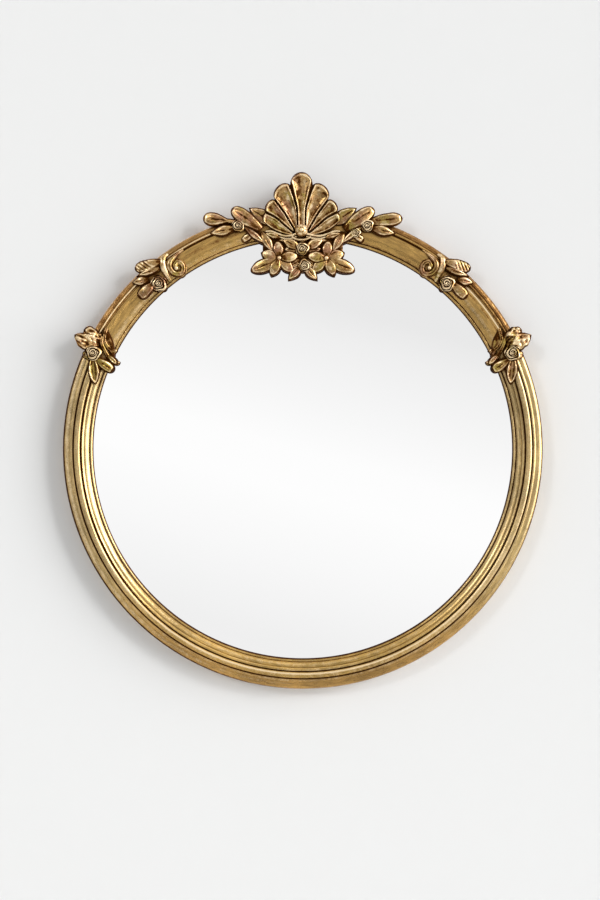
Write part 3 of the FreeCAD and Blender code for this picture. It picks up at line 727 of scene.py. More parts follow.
def spin_moulding(node, profile, parts_at, bands, edges, start, span):
    build = start_piece()
    wear_and_light = wear_and_light_layer(build)
    chain = []
    for r, d, value in profile:
        vert = build.verts.new(Vector((r, -d, 0)) * MM)
        vert[wear_and_light] = value
        chain.append(vert)
    lines = [build.edges.new(pair) for pair in zip(chain, chain[1:] + chain[:1])]
    bmesh.ops.transform(build, matrix=Matrix.Rotation(math.radians(-start), 4, "Y"), verts=build.verts)
    bmesh.ops.spin(
        build, geom=lines + chain, cent=(0, 0, 0), axis=(0, -1, 0), angle=math.radians(span),
        steps=int(span * STEPS_PER_DEGREE), use_merge=False, use_normal_flip=False, use_duplicate=False,
    )
    for vert in build.verts:
        if -vert.co.y > (LIP_BACK + 1) * MM:
            across = math.hypot(vert.co.x, vert.co.z)
            parts = parts_at(vert.co.x / across, -vert.co.z / across)
            # Painted light and shade from the table.
            vert[wear_and_light] = held(vert[wear_and_light] + painted_light_at(across / MM - SIGHT, parts, bands, edges))
            ripple = noise.noise(vert.co * 26.0) * 0.14 + noise.noise(vert.co * 95.0) * 0.06
            vert.co += OUT * (ripple * MM)
    bmesh.ops.holes_fill(build, edges=[edge for edge in build.edges if edge.is_boundary], sides=0)
    values = sorted({round(vert[wear_and_light], 2) for vert in build.verts})
    print("rub values", values[0], "to", values[-1])
    put_piece(node, build, "_gilt", gilt_ring, 45)


spin_moulding(
    "lower_moulding", lower_profile(), lower_parts, LOWER_BANDS, LOWER_EDGES, 180 - JOINT, 180 + 2 * JOINT
)
spin_moulding(
    "upper_moulding", upper_profile(), arch_parts, ARCH_BANDS, ARCH_EDGES, JOINT, 180 - 2 * JOINT
)

# %% [markdown]
# There are about sixty leaves and petals. They could be sculpted one by one, but a few formulas
# describe them all. The shape gives the outline. The height of a place depends on how far it lies
# from the edge: a steep glazed rim, then a full round blade. The dark edge is glaze with painted
# shade, and the bright line just inside it is wear with a painted highlight. The cut says what the
# carver did next: a short vein, a plain blade with a painted highlight down its middle, a hollow
# between raised rims, ribs across the end, or crumpled folds. Veins, hollows and the grooves between
# ribs are darker, and rims and raised folds brighter: glaze and wear with painted shade and highlight.

# %% Leaf shapes
EDGE_ROUND, EDGE_GLAZE_AND_SHADE_WIDTH = 2.8, 1.3
BROAD = {"root": 0.50, "widest": 0.60, "power": 2.6, "round": 0.50}
SPOON = {"root": 0.42, "neck": 0.30, "widest": 0.74, "power": 2.2, "round": 0.50}
POINTED = {"root": 0.50, "widest": 0.42, "power": 1.6, "round": 0.85}
OVAL = {"root": 0.55, "widest": 0.52, "power": 1.9, "round": 0.62}
PETAL = {"root": 0.50, "widest": 0.50, "power": 1.7, "round": 0.75}


def half_width(share, shape):
    if share < shape["widest"]:
        neck = shape.get("neck", 0.0)
        grown = held((share - neck) / (shape["widest"] - neck))
        return shape["root"] + (1 - shape["root"]) * math.sin(math.pi / 2 * grown)
    past = (share - shape["widest"]) / (1 - shape["widest"])
    return max(0.08, (1 - past ** shape["power"]) ** shape["round"])


def blade(share, side, from_edge, cut, seed):
    """Height, from 0 to about 1, and the value for glaze, wear and painted light of a leaf at one place."""
    drop = held(1 - from_edge / EDGE_ROUND)
    height = 0.30 + 0.50 * math.sqrt(1 - drop * drop) + 0.22 * (1 - side * side)
    # Dark along the edge, glaze with painted shade, and bright just inside it, wear with painted highlight.
    value = 0.45 - 0.75 * held(2 - from_edge / EDGE_GLAZE_AND_SHADE_WIDTH) + 0.44 * bump_at(from_edge, EDGE_ROUND, 0.7)
    if cut == "vein":
        vein = bump_at(side, 0, 0.10) * held((share - 0.28) / 0.12) * held((0.88 - share) / 0.2)
        height -= 0.14 * vein
        value -= 0.45 * vein
    # A plain blade keeps its height: only a painted highlight runs down its middle, and the rest is a
    # little darker.
    elif cut == "plain":
        middle = bump_at(side, 0.15, 0.42) * bump_at(share, 0.62, 0.30)
        value += 0.34 * middle - 0.14
    elif cut == "hollow":
        rim = bump_at(from_edge, EDGE_ROUND, 0.9)
        height += 0.20 * rim - 0.50 * (1 - side * side)
        value += 0.36 * rim - 0.45 * bump_at(abs(side), 0.28, 0.14)
    elif cut == "ribs":
        rib = bump_at((7 * share - 1.2 * side) % 1.0, 0.5, 0.17) * held((share - 0.32) / 0.15)
        height -= 0.18 * rib
        value += 0.16 - 0.85 * rib
    elif cut == "crumpled":
        fold = noise.noise(seed + Vector((5.5 * share, 3.2 * side, 0.7)))
        height += 0.50 * fold
        value += 0.20 + 1.1 * fold
    return height, value


print("share of the width left at a tip", round(half_width(1.0, BROAD), 2))

# %% [markdown]
# A leaf is carved from a grid of faces that is extruded once, which gives a front and a back joined
# by a wall. The back stays flat, and each front vertex is lifted by the height of its place. Two
# loose sheets would be simpler, but a closed shape has a thickness and true normals.

# %% Carving a leaf
LEAF_LENGTHWISE, LEAF_ACROSS = 36, 30
RAGGED, CRUMPLED_RAGGED = 0.05, 0.28


def raised_grid(build, first, second):
    """A grid of faces extruded once: the vertices of its back and those of its front."""
    back = bmesh.ops.create_grid(build, x_segments=first, y_segments=second, size=1.0)["verts"]
    faces = list({face for vert in back for face in vert.link_faces})
    raised = bmesh.ops.extrude_face_region(build, geom=faces)
    front = {item for item in raised["geom"] if isinstance(item, bmesh.types.BMVert)}
    return list(back), front


def carve_leaf(build, root, tip, width, crown, shape, cut="vein", dim=1.0):
    wear_and_light = wear_and_light_layer(build)
    back, front = raised_grid(build, LEAF_LENGTHWISE, LEAF_ACROSS)
    along = tip - root
    length = along.length
    along.normalize()
    across = along.cross(OUT).normalized()
    lift = across.cross(along)
    seed = root * 300
    unevenness = CRUMPLED_RAGGED if cut == "crumpled" else RAGGED
    for vert in back + list(front):
        share = 1 - (1 - (vert.co.x + 1) / 2) ** 1.3
        side = math.sin(math.pi / 2 * vert.co.y)
        ragged = 1 + unevenness * noise.noise(seed + Vector((share * 5, side, 0)))
        reach = width / 2 * half_width(share, shape) * ragged
        height = value = 0.0
        if vert in front:
            from_edge = min((1 - abs(side)) * reach, (1 - share) * length / MM * 0.75)
            height, value = blade(share, side, from_edge, cut, seed)
            height *= crown * (0.60 + 0.40 * math.sin(math.pi * held(share * 0.9 + 0.12)))
            value += 0.12 * noise.noise(seed + vert.co * 4)
            # Darker towards the root and on leaves given a low dim: painted shade where a leaf meets the
            # ground or lies behind others.
            value = held(value * held(0.15 + 2.4 * share) * dim)
        vert.co = root + along * (length * share) + across * (side * reach * MM) + lift * (height * MM)
        vert[wear_and_light] = value


print("leaf grid", LEAF_LENGTHWISE, "by", LEAF_ACROSS)

# %% [markdown]
# A rose could be built petal by petal, but at this size it is turned first and then cut. A short
# profile is spun into a round boss, and the boss is cut into petals wrapped round a bud. Each petal
# is a circle set a little off the centre, so between two of them a crescent is left, thin on one
# side and full on the other, with a rolled lip. The lips are bright, wear with painted highlight,
# and the seams between petals and the foot of the boss are dark, glaze with painted shade.

# %% Rose
ROSE_RINGS, ROSE_SEGMENTS = 44, 96
ROSE_FLATNESS = 0.80
WRAPPED_PETALS = (
    (0.19, 0.00, 0.0), (0.40, 0.08, 1.2), (0.62, 0.12, 3.6), (0.84, 0.10, 5.7), (1.05, 0.0, 0.0),
)


def petal_height(share, angle):
    """Height and value for glaze, wear and painted light of the cut boss at a share of its radius and an
    angle.
    """
    spot = Vector((share * math.cos(angle), share * math.sin(angle)))
    inside = share
    for number, (radius, off, turn) in enumerate(WRAPPED_PETALS):
        centre = Vector((off * math.cos(turn), off * math.sin(turn)))
        wavy = radius * (1 + 0.035 * number * math.sin(3 * (angle - turn)))
        left_over = wavy - (spot - centre).length
        if left_over > 0 or radius > 1:
            within = held(inside / (inside + max(left_over, 0.001)))
            # Dark seams between petals, glaze with painted shade; bright lips, wear with painted highlight.
            lip = held((within - 0.20) / 0.28) if within < 0.86 else held((1.0 - within) / 0.12)
            lip = lip * lip * (3 - 2 * lip)
            height = 1.0 - 0.55 * share ** 2 - 0.30 * (1 - lip) + 0.10 * within
            return height, held(0.04 + (0.84 - 0.05 * number) * lip)
        inside = -left_over


def carve_rose(build, centre, radius, turn):
    wear_and_light = wear_and_light_layer(build)
    outline = [(0.0, -0.30), (0.80, -0.30), (0.96, 0.0)]
    outline += [(1 - index / ROSE_RINGS, 1.0) for index in range(ROSE_RINGS + 1)]
    chain = [build.verts.new(Vector((share, -height, 0))) for share, height in outline]
    edges = [build.edges.new(pair) for pair in zip(chain, chain[1:])]
    before = set(build.verts) - set(chain)
    bmesh.ops.spin(
        build, geom=chain + edges, cent=(0, 0, 0), axis=(0, -1, 0), angle=2 * math.pi,
        steps=ROSE_SEGMENTS, use_merge=True, use_normal_flip=False, use_duplicate=False,
    )
    for vert in set(build.verts) - before:
        share = math.hypot(vert.co.x, vert.co.z)
        angle = math.atan2(vert.co.z, vert.co.x)
        height, value = -vert.co.y, 0.0
        if height > 0.5:
            height, value = petal_height(share, angle)
            height *= ROSE_FLATNESS
            value *= 0.98 + 0.55 * noise.noise(centre * 90 + vert.co * 1.3)
            if share > 0.94:
                height -= 0.25
                value = 0.0
        spread = share * (1 + 0.06 * share * math.cos(5 * (angle - 0.4) + math.pi))
        at = Vector((math.cos(angle + turn) * spread, -height, math.sin(angle + turn) * spread))
        vert.co = centre + at * (radius * MM)
        vert[wear_and_light] = value


print("rose of", ROSE_RINGS, "rings and", len(WRAPPED_PETALS), "circles")

# %% [markdown]
# The shell has lobes like spoons laid side by side. Single spoons would leave slits between them, so
# each lobe is a grid of faces stretched between two boundary lines and rounded at its end, and the
# next lobe starts on the same line. From its edge inwards a lobe has a groove, a thin rim and a
# bowl. The groove and a band inside the rim are dark, glaze with painted shade, and the rim is
# bright, wear with a painted highlight.

# %% Carving a lobe
SHELL_AXIS, SHELL_THICKNESS, SHELL_LEAN = -1.8, 12.0, 5.0
LOBE_ACROSS, LOBE_ALONG = 40, 60
lean = Matrix.Rotation(math.radians(SHELL_LEAN), 3, "X")


def along_line(knots, share):
    """Point at a share of a smooth line through the knots."""
    line = smooth_line([Vector((x, up, 0)) for x, up in knots], 10)
    spot = share * (len(line) - 1)
    first = min(int(spot), len(line) - 2)
    return line[first].lerp(line[first + 1], spot - first)


def mirrored(knots):
    return tuple((-x, up) for x, up in knots)


def carve_lobe(build, near, far, cap, top, streak):
    """One spoon of the shell between two boundary lines given in the plane of the crest."""
    wear_and_light = wear_and_light_layer(build)
    back, front = raised_grid(build, LOBE_ACROSS, LOBE_ALONG)
    near_end, far_end = along_line(near, 1.0), along_line(far, 1.0)
    chord = far_end - near_end
    ahead = Vector((-chord.y, chord.x, 0)).normalized()
    ahead *= 1 if ahead.y > 0 else -1
    rows = {}
    for vert in back + list(front):
        share = 1 - (1 - (vert.co.y + 1) / 2) ** 1.4
        key = round(share, 5)
        if key not in rows:
            rows[key] = along_line(near, share), along_line(far, share)
        start, end = rows[key]
        side = math.sin(math.pi / 2 * vert.co.x)
        arch = math.sqrt(max(0.0, 1 - side * side))
        spot = start.lerp(end, (side + 1) / 2) + ahead * (cap * arch * share ** 4)
        height = value = 0.0
        if vert in front:
            half = (end - start).length / 2
            from_tip = cap * arch * (1 - share ** 4) + ((near_end + far_end) / 2 - (start + end) / 2).length
            from_edge = min((1 - abs(side)) * half, from_tip * 0.6)
            groove = held(1.25 - from_edge / 1.1)
            rim = bump_at(from_edge, 2.0, 0.65)
            bowl = held((from_edge - 2.0) / max(2.0, half * 0.75))
            bowl = 1 - (1 - bowl) ** 2
            height = top - 3.2 * groove ** 1.5 + 0.7 * rim - 0.22 * min(half, 13) * bowl
            # Dark in the groove and just inside the rim, glaze with painted shade; bright on the rim and
            # along a streak, painted highlight with wear; darker on the other side, painted shade.
            value = 0.43 - 0.62 * held(1.35 - from_edge / 1.35) + 0.50 * rim
            value -= 0.22 * bump_at(from_edge, 3.7, 0.9) + 0.14 * bump_at(side, -streak, 0.35)
            value += 0.46 * bump_at(side, streak, 0.20) * held(1.35 - share)
            value = held(value + 0.10 * noise.noise(Vector((spot.x, spot.y, top)) * 0.15))
        local = Vector((spot.x, -height, spot.y))
        vert.co = crest_at(SHELL_AXIS, 0, GROUND) + lean @ local * MM
        vert[wear_and_light] = value


print("lobe grid", LOBE_ACROSS, "by", LOBE_ALONG)

# %% [markdown]
# The seven lobes are one in the middle and three pairs, each pair a little lower than the last. A
# mirror modifier could make the left ones, but with mirrored lines the small unevenness differs from
# side to side, as in hand work. Each side lobe has a painted highlight, a bright streak on the side
# towards the middle, and a little painted shade on its other side.

# %% Shell
LOBE_LINES = (
    ((5.0, -5), (5.3, 8), (5.8, 20), (8.2, 30), (11.0, 40), (14.3, 49.3)),
    ((9.0, -7), (13.5, 1), (20, 12), (26.5, 21.5), (33, 30.5)),
    ((11, -10), (21, -1.5), (32, 8), (44.5, 14.5)),
    ((12, -15), (25, -12), (38, -6), (47.5, 2.5)),
)
LOBE_CAPS = (16.2, 10.0, 6.5, 4.0)
LOBE_DROP = 1.3
LEFT_STREAK, RIGHT_STREAK = 0.35, -0.30
build = start_piece()
carve_lobe(build, mirrored(LOBE_LINES[0]), LOBE_LINES[0], LOBE_CAPS[0], SHELL_THICKNESS, LEFT_STREAK)
for number in range(3):
    top = SHELL_THICKNESS - LOBE_DROP * (number + 1)
    near, far = LOBE_LINES[number], LOBE_LINES[number + 1]
    carve_lobe(build, near, far, LOBE_CAPS[number + 1], top, RIGHT_STREAK)
    carve_lobe(build, mirrored(far), mirrored(near), LOBE_CAPS[number + 1], top, LEFT_STREAK)
put_piece("crest_shell", build)

# %% [markdown]
# Cords, straps and scrolls are a round section drawn along a line. They could be bevelled curves,
# but here the end face is extruded from one station to the next, each a small frame with its own
# size and direction, because the vertices then can carry their value for glaze, wear and painted
# light.

# %% Cords
FLUTE_DEPTH = 0.24


def sweep(build, points, radii, flat=1.0, flutes=0, dim=1.0, sides=28):
    wear_and_light = wear_and_light_layer(build)
    stations = []
    for index, (point, radius) in enumerate(zip(points, radii)):
        ahead = points[min(index + 1, len(points) - 1)] - points[max(index - 1, 0)]
        ahead.normalize()
        across = ahead.cross(OUT).normalized()
        lift = across.cross(ahead)
        size = radius * MM
        station = Matrix((across * size, lift * size * flat, ahead * size)).transposed().to_4x4()
        station.translation = point
        stations.append(station)
    ring = bmesh.ops.create_circle(build, cap_ends=True, segments=sides, radius=1.0)["verts"]
    for vert in ring:
        if flutes and vert.co.y > 0:
            vert.co.y *= 1 - FLUTE_DEPTH * (0.5 - 0.5 * math.cos(math.pi * flutes * (vert.co.x + 1)))
    bmesh.ops.transform(build, matrix=stations[0], verts=ring)
    cap = ring[0].link_faces[0]
    made = [(vert, 0) for vert in ring]
    for index in range(1, len(stations)):
        grown = bmesh.ops.extrude_face_region(build, geom=[cap])
        cap = [item for item in grown["geom"] if isinstance(item, bmesh.types.BMFace)][0]
        turn = stations[index] @ stations[index - 1].inverted()
        bmesh.ops.transform(build, matrix=turn, verts=cap.verts)
        made += [(vert, index) for vert in cap.verts]
    # Brighter on the outward top and darker underneath and in the flutes, scaled by dim: wear and glaze
    # with painted highlight and painted shade.
    for vert, index in made:
        local = stations[index].inverted() @ vert.co
        cut = 0.5 - 0.5 * math.cos(math.pi * flutes * (local.x + 1)) if local.y > 0 else 0.0
        vert[wear_and_light] = held((0.26 + 0.46 * local.y / (1 - FLUTE_DEPTH * cut) - 0.55 * cut) * dim)


def tapered(line, start, end):
    return [start + (end - start) * index / (len(line) - 1) for index in range(len(line))]


print("radii of a taper in three points", tapered([0, 0, 0], 1.0, 2.0))

# %% [markdown]
# The pearl at the hinge of the shell is a ball cut with a small flower. A bump in the material could
# show the flower, but the cut is real, so that glaze settles in it.

# %% Pearl
PEARL_X, PEARL_UP, PEARL_RADIUS = -1.8, -8.5, 8.3
build = start_piece()
wear_and_light = wear_and_light_layer(build)
pearl_at = crest_at(PEARL_X, PEARL_UP, GROUND + SHELL_THICKNESS * 0.72)
for vert in bmesh.ops.create_uvsphere(build, u_segments=48, v_segments=28, radius=1.0)["verts"]:
    turned = math.atan2(vert.co.y, vert.co.x)
    reach = math.hypot(vert.co.x, vert.co.y)
    between = bump_at(math.sin(2.5 * turned), 0, 0.25) * held((reach - 0.36) / 0.2)
    cut = (bump_at(reach, 0.36, 0.09) + 0.8 * between) * held(vert.co.z * 3)
    # Bright on the front and dark towards the sides and in the cut: painted highlight and painted shade,
    # with glaze in the cut.
    vert[wear_and_light] = held(0.88 * held(2.2 * vert.co.z) - 0.6 * cut)
    vert.co = pearl_at + Vector((vert.co.x, -vert.co.z, vert.co.y)) * (PEARL_RADIUS * (1 - 0.09 * cut) * MM)
put_piece("crest_pearl", build)

# %% [markdown]
# Under the pearl the lip of the shell rolls out to both sides in two cords, with two leaves beside
# them and a short swag below the pearl. Two sets of numbers would drift apart, so both sides share
# one table, and hand is -1 on the left and 1 on the right.

# %% Collar
CORDS = ((0.0, 1.6, 6.5), (-3.6, 1.5, 4.5))
CORD_KNOTS = (
    (14, -14.8, 1.0, 0), (23, -15.2, 0.9, -1), (32, -12.5, 0.8, -1), (40, -9.5, 0.7, -1),
    (47, -9.5, 0.4, -2),
)
COLLAR_LEAVES = (
    ((29, -17, GROUND + 1), (50, -11.5, GROUND + 1), 10, 5.5, POINTED),
    ((8, -20.5, GROUND - 1), (34, -21, GROUND), 9, 5, POINTED),
)
SWAG_KNOTS = ((-14, -16.5), (-8, -19.5), (-1.8, -20.3), (4.5, -19.5), (10.5, -16.5))
CORD_BRIGHT = 1.25


def crest_leaves(hand, rows):
    """Leaves of one side of the crest; a row is root, tip, width, crown, shape and perhaps a cut."""
    leaves = []
    for root, tip, *rest in rows:
        leaves.append((crest_at(hand * root[0], *root[1:]), crest_at(hand * tip[0], *tip[1:]), *rest))
    return leaves


build = start_piece()
for hand, side_name in SIDES:
    for drop, radius, out in CORDS:
        knots = [crest_at(PEARL_X + hand * 6.0, -12.5 + drop, GROUND + out + 1)]
        for x, up, share, ahead in CORD_KNOTS:
            knots.append(crest_at(hand * x, up + drop * share, GROUND + out + ahead))
        line = smooth_line(knots)
        sweep(build, line, tapered(line, radius, radius * 0.7), dim=CORD_BRIGHT)
    for leaf in crest_leaves(hand, COLLAR_LEAVES):
        carve_leaf(build, *leaf)
line = smooth_line([crest_at(x, up, GROUND + 6) for x, up in SWAG_KNOTS])
sweep(build, line, tapered(line, 1.5, 1.5), dim=CORD_BRIGHT)
put_piece("crest_collar", build)

# %% [markdown]
# Below the shell the flowers lie on a ground that closes the gaps between them. It is painted dark,
# glaze with painted shade. It is a flat plate that nobody sees much of, so one face is drawn from its
# outline, extruded and bevelled.

# %% Ground of the crest
GROUND_OUTLINE = ((44, -4), (51, -22), (51, -36), (42, -49), (30, -54), (20, -58), (9, -61))
GROUND_GLAZE_AND_SHADE, PLATE_THICKNESS, PLATE_BEVEL = 0.16, 5, 1.5

build = start_piece()
corners = GROUND_OUTLINE + mirrored(GROUND_OUTLINE[::-1])
plate = build.faces.new([build.verts.new(crest_at(x, up, GROUND - PLATE_THICKNESS)) for x, up in corners])
front = bmesh.ops.extrude_face_region(build, geom=[plate])["geom"]
front_verts = [item for item in front if isinstance(item, bmesh.types.BMVert)]
bmesh.ops.translate(build, vec=OUT * (PLATE_THICKNESS * MM), verts=front_verts)
front_face = [item for item in front if isinstance(item, bmesh.types.BMFace)][0]
bmesh.ops.bevel(
    build, geom=list(front_face.edges), offset=PLATE_BEVEL * MM, segments=3, profile=0.5, affect="EDGES",
    material=-1,
)
# The whole plate gets one low value: painted dark, glaze with painted shade.
wear_and_light = wear_and_light_layer(build)
for vert in build.verts:
    vert[wear_and_light] = GROUND_GLAZE_AND_SHADE
put_piece("crest_base", build)

# %% [markdown]
# On the ground sit two roses on the centre line, a five-petalled flower on each side with a berry at
# its heart, and the leaves that frame them. All of them are the leaf and the rose from above, set
# out by tables, so that one change of the carving reaches every piece.

# %% Flowers and leaves of the crest
PETALS = ((23.5, 7, 17), (2.5, 23, 15.5), (-25, 2.5, 16.5), (-18.5, -18.5, 16), (10.5, -23, 16))
PETAL_CROWN = 6.5
HEART_X, HEART_UP, BERRY_RADIUS, BERRY_RISE = 30.0, -43.5, 3.3, 3.6
FLOWER_DEPTH = GROUND + 1.5
BUNCH_LEAF = (((31, -46, GROUND - 1), (66.5, -59.5, GROUND - 3), 19, 8, OVAL),)
BOTTOM_LEAF = (((3, -54, GROUND - 1), (18.8, -71.5, GROUND - 2), 14, 6.5, POINTED),)
FLANK_LEAVES = (
    ((5, -30, GROUND), (27, -19.5, GROUND), 15, 7, POINTED),
    ((6, -33, GROUND - 1), (25, -32, GROUND - 1), 13, 5.5, POINTED),
    ((3, -46, GROUND - 2), (17, -54, GROUND - 2), 13, 6, BROAD),
)


def leaves_piece(node, leaves):
    build = start_piece()
    for leaf in leaves:
        carve_leaf(build, *leaf)
    put_piece(node, build)


def rose_piece(node, centre, radius, turn):
    build = start_piece()
    carve_rose(build, centre, radius, turn)
    put_piece(node, build)


def add_ball(build, centre, radius):
    wear_and_light = wear_and_light_layer(build)
    ball = bmesh.ops.create_uvsphere(build, u_segments=20, v_segments=12, radius=radius * MM)["verts"]
    for vert in ball:
        # Bright on the side facing out and dark towards the wall: painted highlight and painted shade.
        vert[wear_and_light] = held(0.15 + 0.75 * (vert.co @ OUT) / (radius * MM))
        vert.co += centre


rose_piece("crest_rose_upper", crest_at(-0.8, -31.5, FLOWER_DEPTH), 9.5, 0.4)
rose_piece("crest_rose_lower", crest_at(2.2, -53, FLOWER_DEPTH), 8.8, 1.9)
for hand, side_name in SIDES:
    build = start_piece()
    heart = crest_at(hand * HEART_X, HEART_UP, FLOWER_DEPTH)
    for number, (away, up, width) in enumerate(PETALS):
        reach = Vector((hand * away, 0, up))
        low = OUT * ((number % 3 * 1.3 - 2.0) * MM)
        start = heart + reach * (BERRY_RADIUS * 0.4 / reach.length * MM) + low
        carve_leaf(build, start, heart + reach * MM + low, width, PETAL_CROWN, PETAL, "plain")
    add_ball(build, heart + OUT * (BERRY_RISE * MM), BERRY_RADIUS)
    put_piece("crest_flower_" + side_name, build)
    leaves_piece("crest_bunch_leaf_" + side_name, crest_leaves(hand, BUNCH_LEAF))
leaves_piece("crest_bottom_leaves", crest_leaves(-1, BOTTOM_LEAF) + crest_leaves(1, BOTTOM_LEAF))
leaves_piece("crest_flank_leaves", crest_leaves(-1, FLANK_LEAVES) + crest_leaves(1, FLANK_LEAVES))

# %% [markdown]
# A spray runs out along the arch on each side of the shell: a rose with leaves fanning from it, a
# few leaves that tie it to the flowers below, and a pointed leaf behind the shell. Mirroring the
# left one would be quick, but the right one has another outer leaf and one more small rose.

# %% Sprays
INNER_LEAF = (((53, -7, GROUND + 2), (90.5, 19.5, GROUND), 20, 9.5, BROAD),)
OUTER_LEAF = ((84, 2, BEAD_FOOT - 5), (127, 7.5, SIDE_HEIGHT + 8), 18, 9)
LOWER_LEAF = ((88, -6, BEAD_FOOT - 2), (118, -12.5, BEAD_FOOT - 4), 15, 8, POINTED)
STEM_LEAVES = (
    ((74, -4, LIP_FRONT + 5), (46, -27, LIP_FRONT + 4), 11, 6.5, POINTED),
    ((52, -11, GROUND - 1), (36.5, -37.5, GROUND - 1), 14, 7, POINTED),
    ((62, -11, LIP_FRONT + 2), (78, -22, LIP_FRONT + 2), 11, 6, BROAD),
)
WING_LEAF = (((39, 1, GROUND - 2), (68.5, 20.5, GROUND - 2), 20, 8, POINTED),)
for hand, side_name in SIDES:
    rose_piece("spray_rose_" + side_name, crest_at(hand * 81.7, -2.3, BEAD_FOOT - 0.5), 8.8, 0.7 * hand)
    leaves_piece("spray_inner_leaf_" + side_name, crest_leaves(hand, INNER_LEAF))
    outer_shape = SPOON if hand < 0 else BROAD
    outer = ((*OUTER_LEAF, outer_shape), LOWER_LEAF)
    leaves_piece("spray_outer_leaves_" + side_name, crest_leaves(hand, outer))
    leaves_piece("spray_stem_leaves_" + side_name, crest_leaves(hand, STEM_LEAVES))
    leaves_piece("crest_wing_" + side_name, crest_leaves(hand, WING_LEAF))
rose_piece("spray_small_rose_right", crest_at(66.5, -11, LIP_FRONT + 6), 7.6, 0.3)

# %% [markdown]
# Half way down each side of the arch a strap crosses the moulding beside a fluted scroll that ends
# in a volute, with a rose, a ribbed ear that stands out past the edge, and a few leaves. Strap and
# scroll are sweeps like the cords, with radii that swell and taper along the line.

# %% Clusters half way down
STRAP_KNOTS = (
    (-31, 15, BEAD_FOOT - 3), (-25.5, 15, BEAD_FOOT), (-20.5, 11, BEAD_FOOT + 1), (-17, 4, BEAD_FOOT + 1),
    (-15, -5, LIP_FRONT + 6), (-13, -14, LIP_FRONT + 2),
)
VOLUTE_KNOTS = (
    (-50, 9.5, BEAD_FOOT - 3), (-38, 8.5, BEAD_FOOT - 1), (-29, 6, BEAD_FOOT), (-23.5, 0, LIP_FRONT + 7),
    (-24, -9, LIP_FRONT + 5), (-31, -14.5, LIP_FRONT + 4), (-37.5, -11, LIP_FRONT + 4),
    (-39, -4, LIP_FRONT + 5), (-35, 0.5, LIP_FRONT + 6), (-30.5, -1.5, LIP_FRONT + 7),
    (-30, -5.5, LIP_FRONT + 7),
)
STRAP_RADIUS, STRAP_FLAT = 4.0, 0.62
VOLUTE_THIN, VOLUTE_SWELL, VOLUTE_FLAT, VOLUTE_FLUTES, VOLUTE_EYE = 1.0, 4.4, 0.8, 3, 3.0
MID_EAR = (
    ((-19, 13, BEAD_FOOT - 3), (10.5, 26.5, SIDE_HEIGHT + 8), 16, 9, BROAD, "ribs"),
    ((-13, 7, BEAD_FOOT - 2), (15, 19, SIDE_HEIGHT + 8), 11, 7, POINTED),
)
MID_LEAVES = (
    ((7, 5, BEAD_FOOT - 2), (24, 17, SIDE_HEIGHT + 7), 13, 7, POINTED),
    ((5, -3, LIP_FRONT + 4), (32, -2.5, LIP_FRONT + 5), 16, 8, BROAD, "plain"),
)


def arch_leaves(hand, anchor, rows):
    return [(arch_at(hand, anchor, *root), arch_at(hand, anchor, *tip), *rest) for root, tip, *rest in rows]


def arch_line(hand, anchor, knots):
    return smooth_line([arch_at(hand, anchor, *knot) for knot in knots])


for hand, side_name in SIDES:
    rose_at = arch_at(hand, MID_ANGLE, 0.3, -7.5, LIP_FRONT + 5)
    rose_piece("mid_rose_" + side_name, rose_at, 11.0, 0.5 * hand)
    build = start_piece()
    line = arch_line(hand, MID_ANGLE, STRAP_KNOTS)
    swell = [math.sin(math.pi * (0.16 + 0.68 * index / (len(line) - 1))) for index in range(len(line))]
    sweep(build, line, [STRAP_RADIUS * share for share in swell], STRAP_FLAT)
    line = arch_line(hand, MID_ANGLE, VOLUTE_KNOTS)
    waist = [held(4 * index / len(line)) - 0.42 * index / len(line) for index in range(len(line))]
    radii = [VOLUTE_THIN + VOLUTE_SWELL * share for share in waist]
    sweep(build, line, radii, VOLUTE_FLAT, VOLUTE_FLUTES)
    add_ball(build, line[-1] + OUT * MM, VOLUTE_EYE)
    put_piece("mid_scroll_" + side_name, build)
    leaves_piece("mid_ear_" + side_name, arch_leaves(hand, MID_ANGLE, MID_EAR))
    leaves_piece("mid_leaves_" + side_name, arch_leaves(hand, MID_ANGLE, MID_LEAVES))

# %% [markdown]
# Over each joint of the ring sits the lowest cluster, which hides the change of profile: a rose, a
# leaf hanging down the moulding, one reaching in over the glass, a small one behind the rose that is
# painted dark as shade, a husk of two strands that ends the cushion, and an ear of two crumpled lobes
# that breaks the outline. The leaf between the husk's strands is painted dark as shade too.

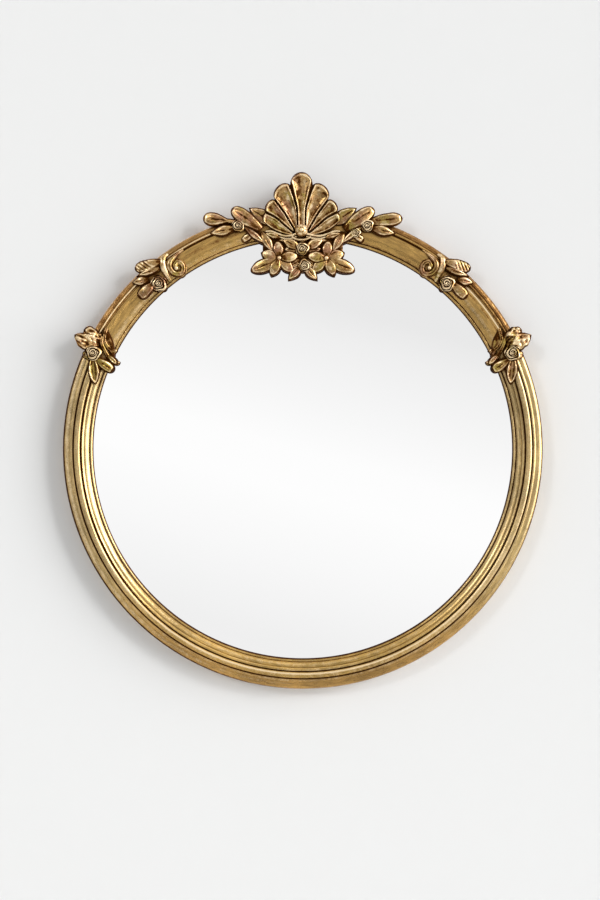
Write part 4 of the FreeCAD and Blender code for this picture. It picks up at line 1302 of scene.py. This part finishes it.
# %% Clusters over the joints
HUSK_INNER = (
    (-35, 6.5, BEAD_FOOT), (-28, 4.5, BEAD_FOOT + 1), (-22, 2, BEAD_FOOT + 1), (-16.5, -4.5, LIP_FRONT + 8),
    (-14, -13, LIP_FRONT + 5), (-16, -17, LIP_FRONT + 5),
)
HUSK_OUTER = (
    (-24, 6, BEAD_FOOT + 1), (-16, 2.5, BEAD_FOOT + 1), (-8, -7, LIP_FRONT + 7),
    (-2.5, -15.5, LIP_FRONT + 5), (0.5, -23, LIP_FRONT + 3), (-3, -26.5, LIP_FRONT + 3),
)
HUSKS = ((HUSK_INNER, 1.7, 2.3), (HUSK_OUTER, 2.0, 2.7))
HUSK_FLAT, HUSK_FLUTES, HUSK_DIM = 0.8, 1, 0.8
HUSK_LEAVES = (
    ((-6, -10, LIP_FRONT + 4), (0.5, -27.5, LIP_FRONT + 3), 9, 5.5, OVAL, "hollow"),
    ((-32, 6, BEAD_FOOT - 3), (-5, -20, LIP_FRONT + 1), 11, 5, POINTED, "vein", 0.3),
)
LOW_LEAVES = (
    ((5, 5, BEAD_FOOT), (36.5, -10, LIP_FRONT + 6), 16, 8, PETAL, "hollow"),
    ((5, 1, LIP_FRONT + 6), (10.5, -25, LIP_FRONT + 2), 14.5, 8, BROAD),
    ((1, 7, BEAD_FOOT - 2), (7.5, 18.5, SIDE_HEIGHT + 6), 12, 6, BROAD, "vein", 0.6),
)
LOW_EAR = (
    ((-9, 5, BEAD_FOOT - 3), (-10, 38.5, BEAD_FOOT - 1), 21, 9, PETAL, "crumpled"),
    ((-20, 5, BEAD_FOOT - 4), (-21, 31, BEAD_FOOT - 3), 17, 9, BROAD, "crumpled"),
)
for hand, side_name in SIDES:
    rose_at = arch_at(hand, LOW_ANGLE, -0.3, 6.4, BEAD_FOOT + 1)
    rose_piece("low_rose_" + side_name, rose_at, 11.0, -0.4 * hand)
    leaves_piece("low_leaves_" + side_name, arch_leaves(hand, LOW_ANGLE, LOW_LEAVES))
    build = start_piece()
    for knots, start, end in HUSKS:
        line = arch_line(hand, LOW_ANGLE, knots)
        sweep(build, line, tapered(line, start, end), HUSK_FLAT, HUSK_FLUTES, HUSK_DIM)
        add_ball(build, line[-1], end * 0.7)
    for leaf in arch_leaves(hand, LOW_ANGLE, HUSK_LEAVES):
        carve_leaf(build, *leaf)
    put_piece("low_scroll_leaf_" + side_name, build)
    leaves_piece("low_ear_" + side_name, arch_leaves(hand, LOW_ANGLE, LOW_EAR))
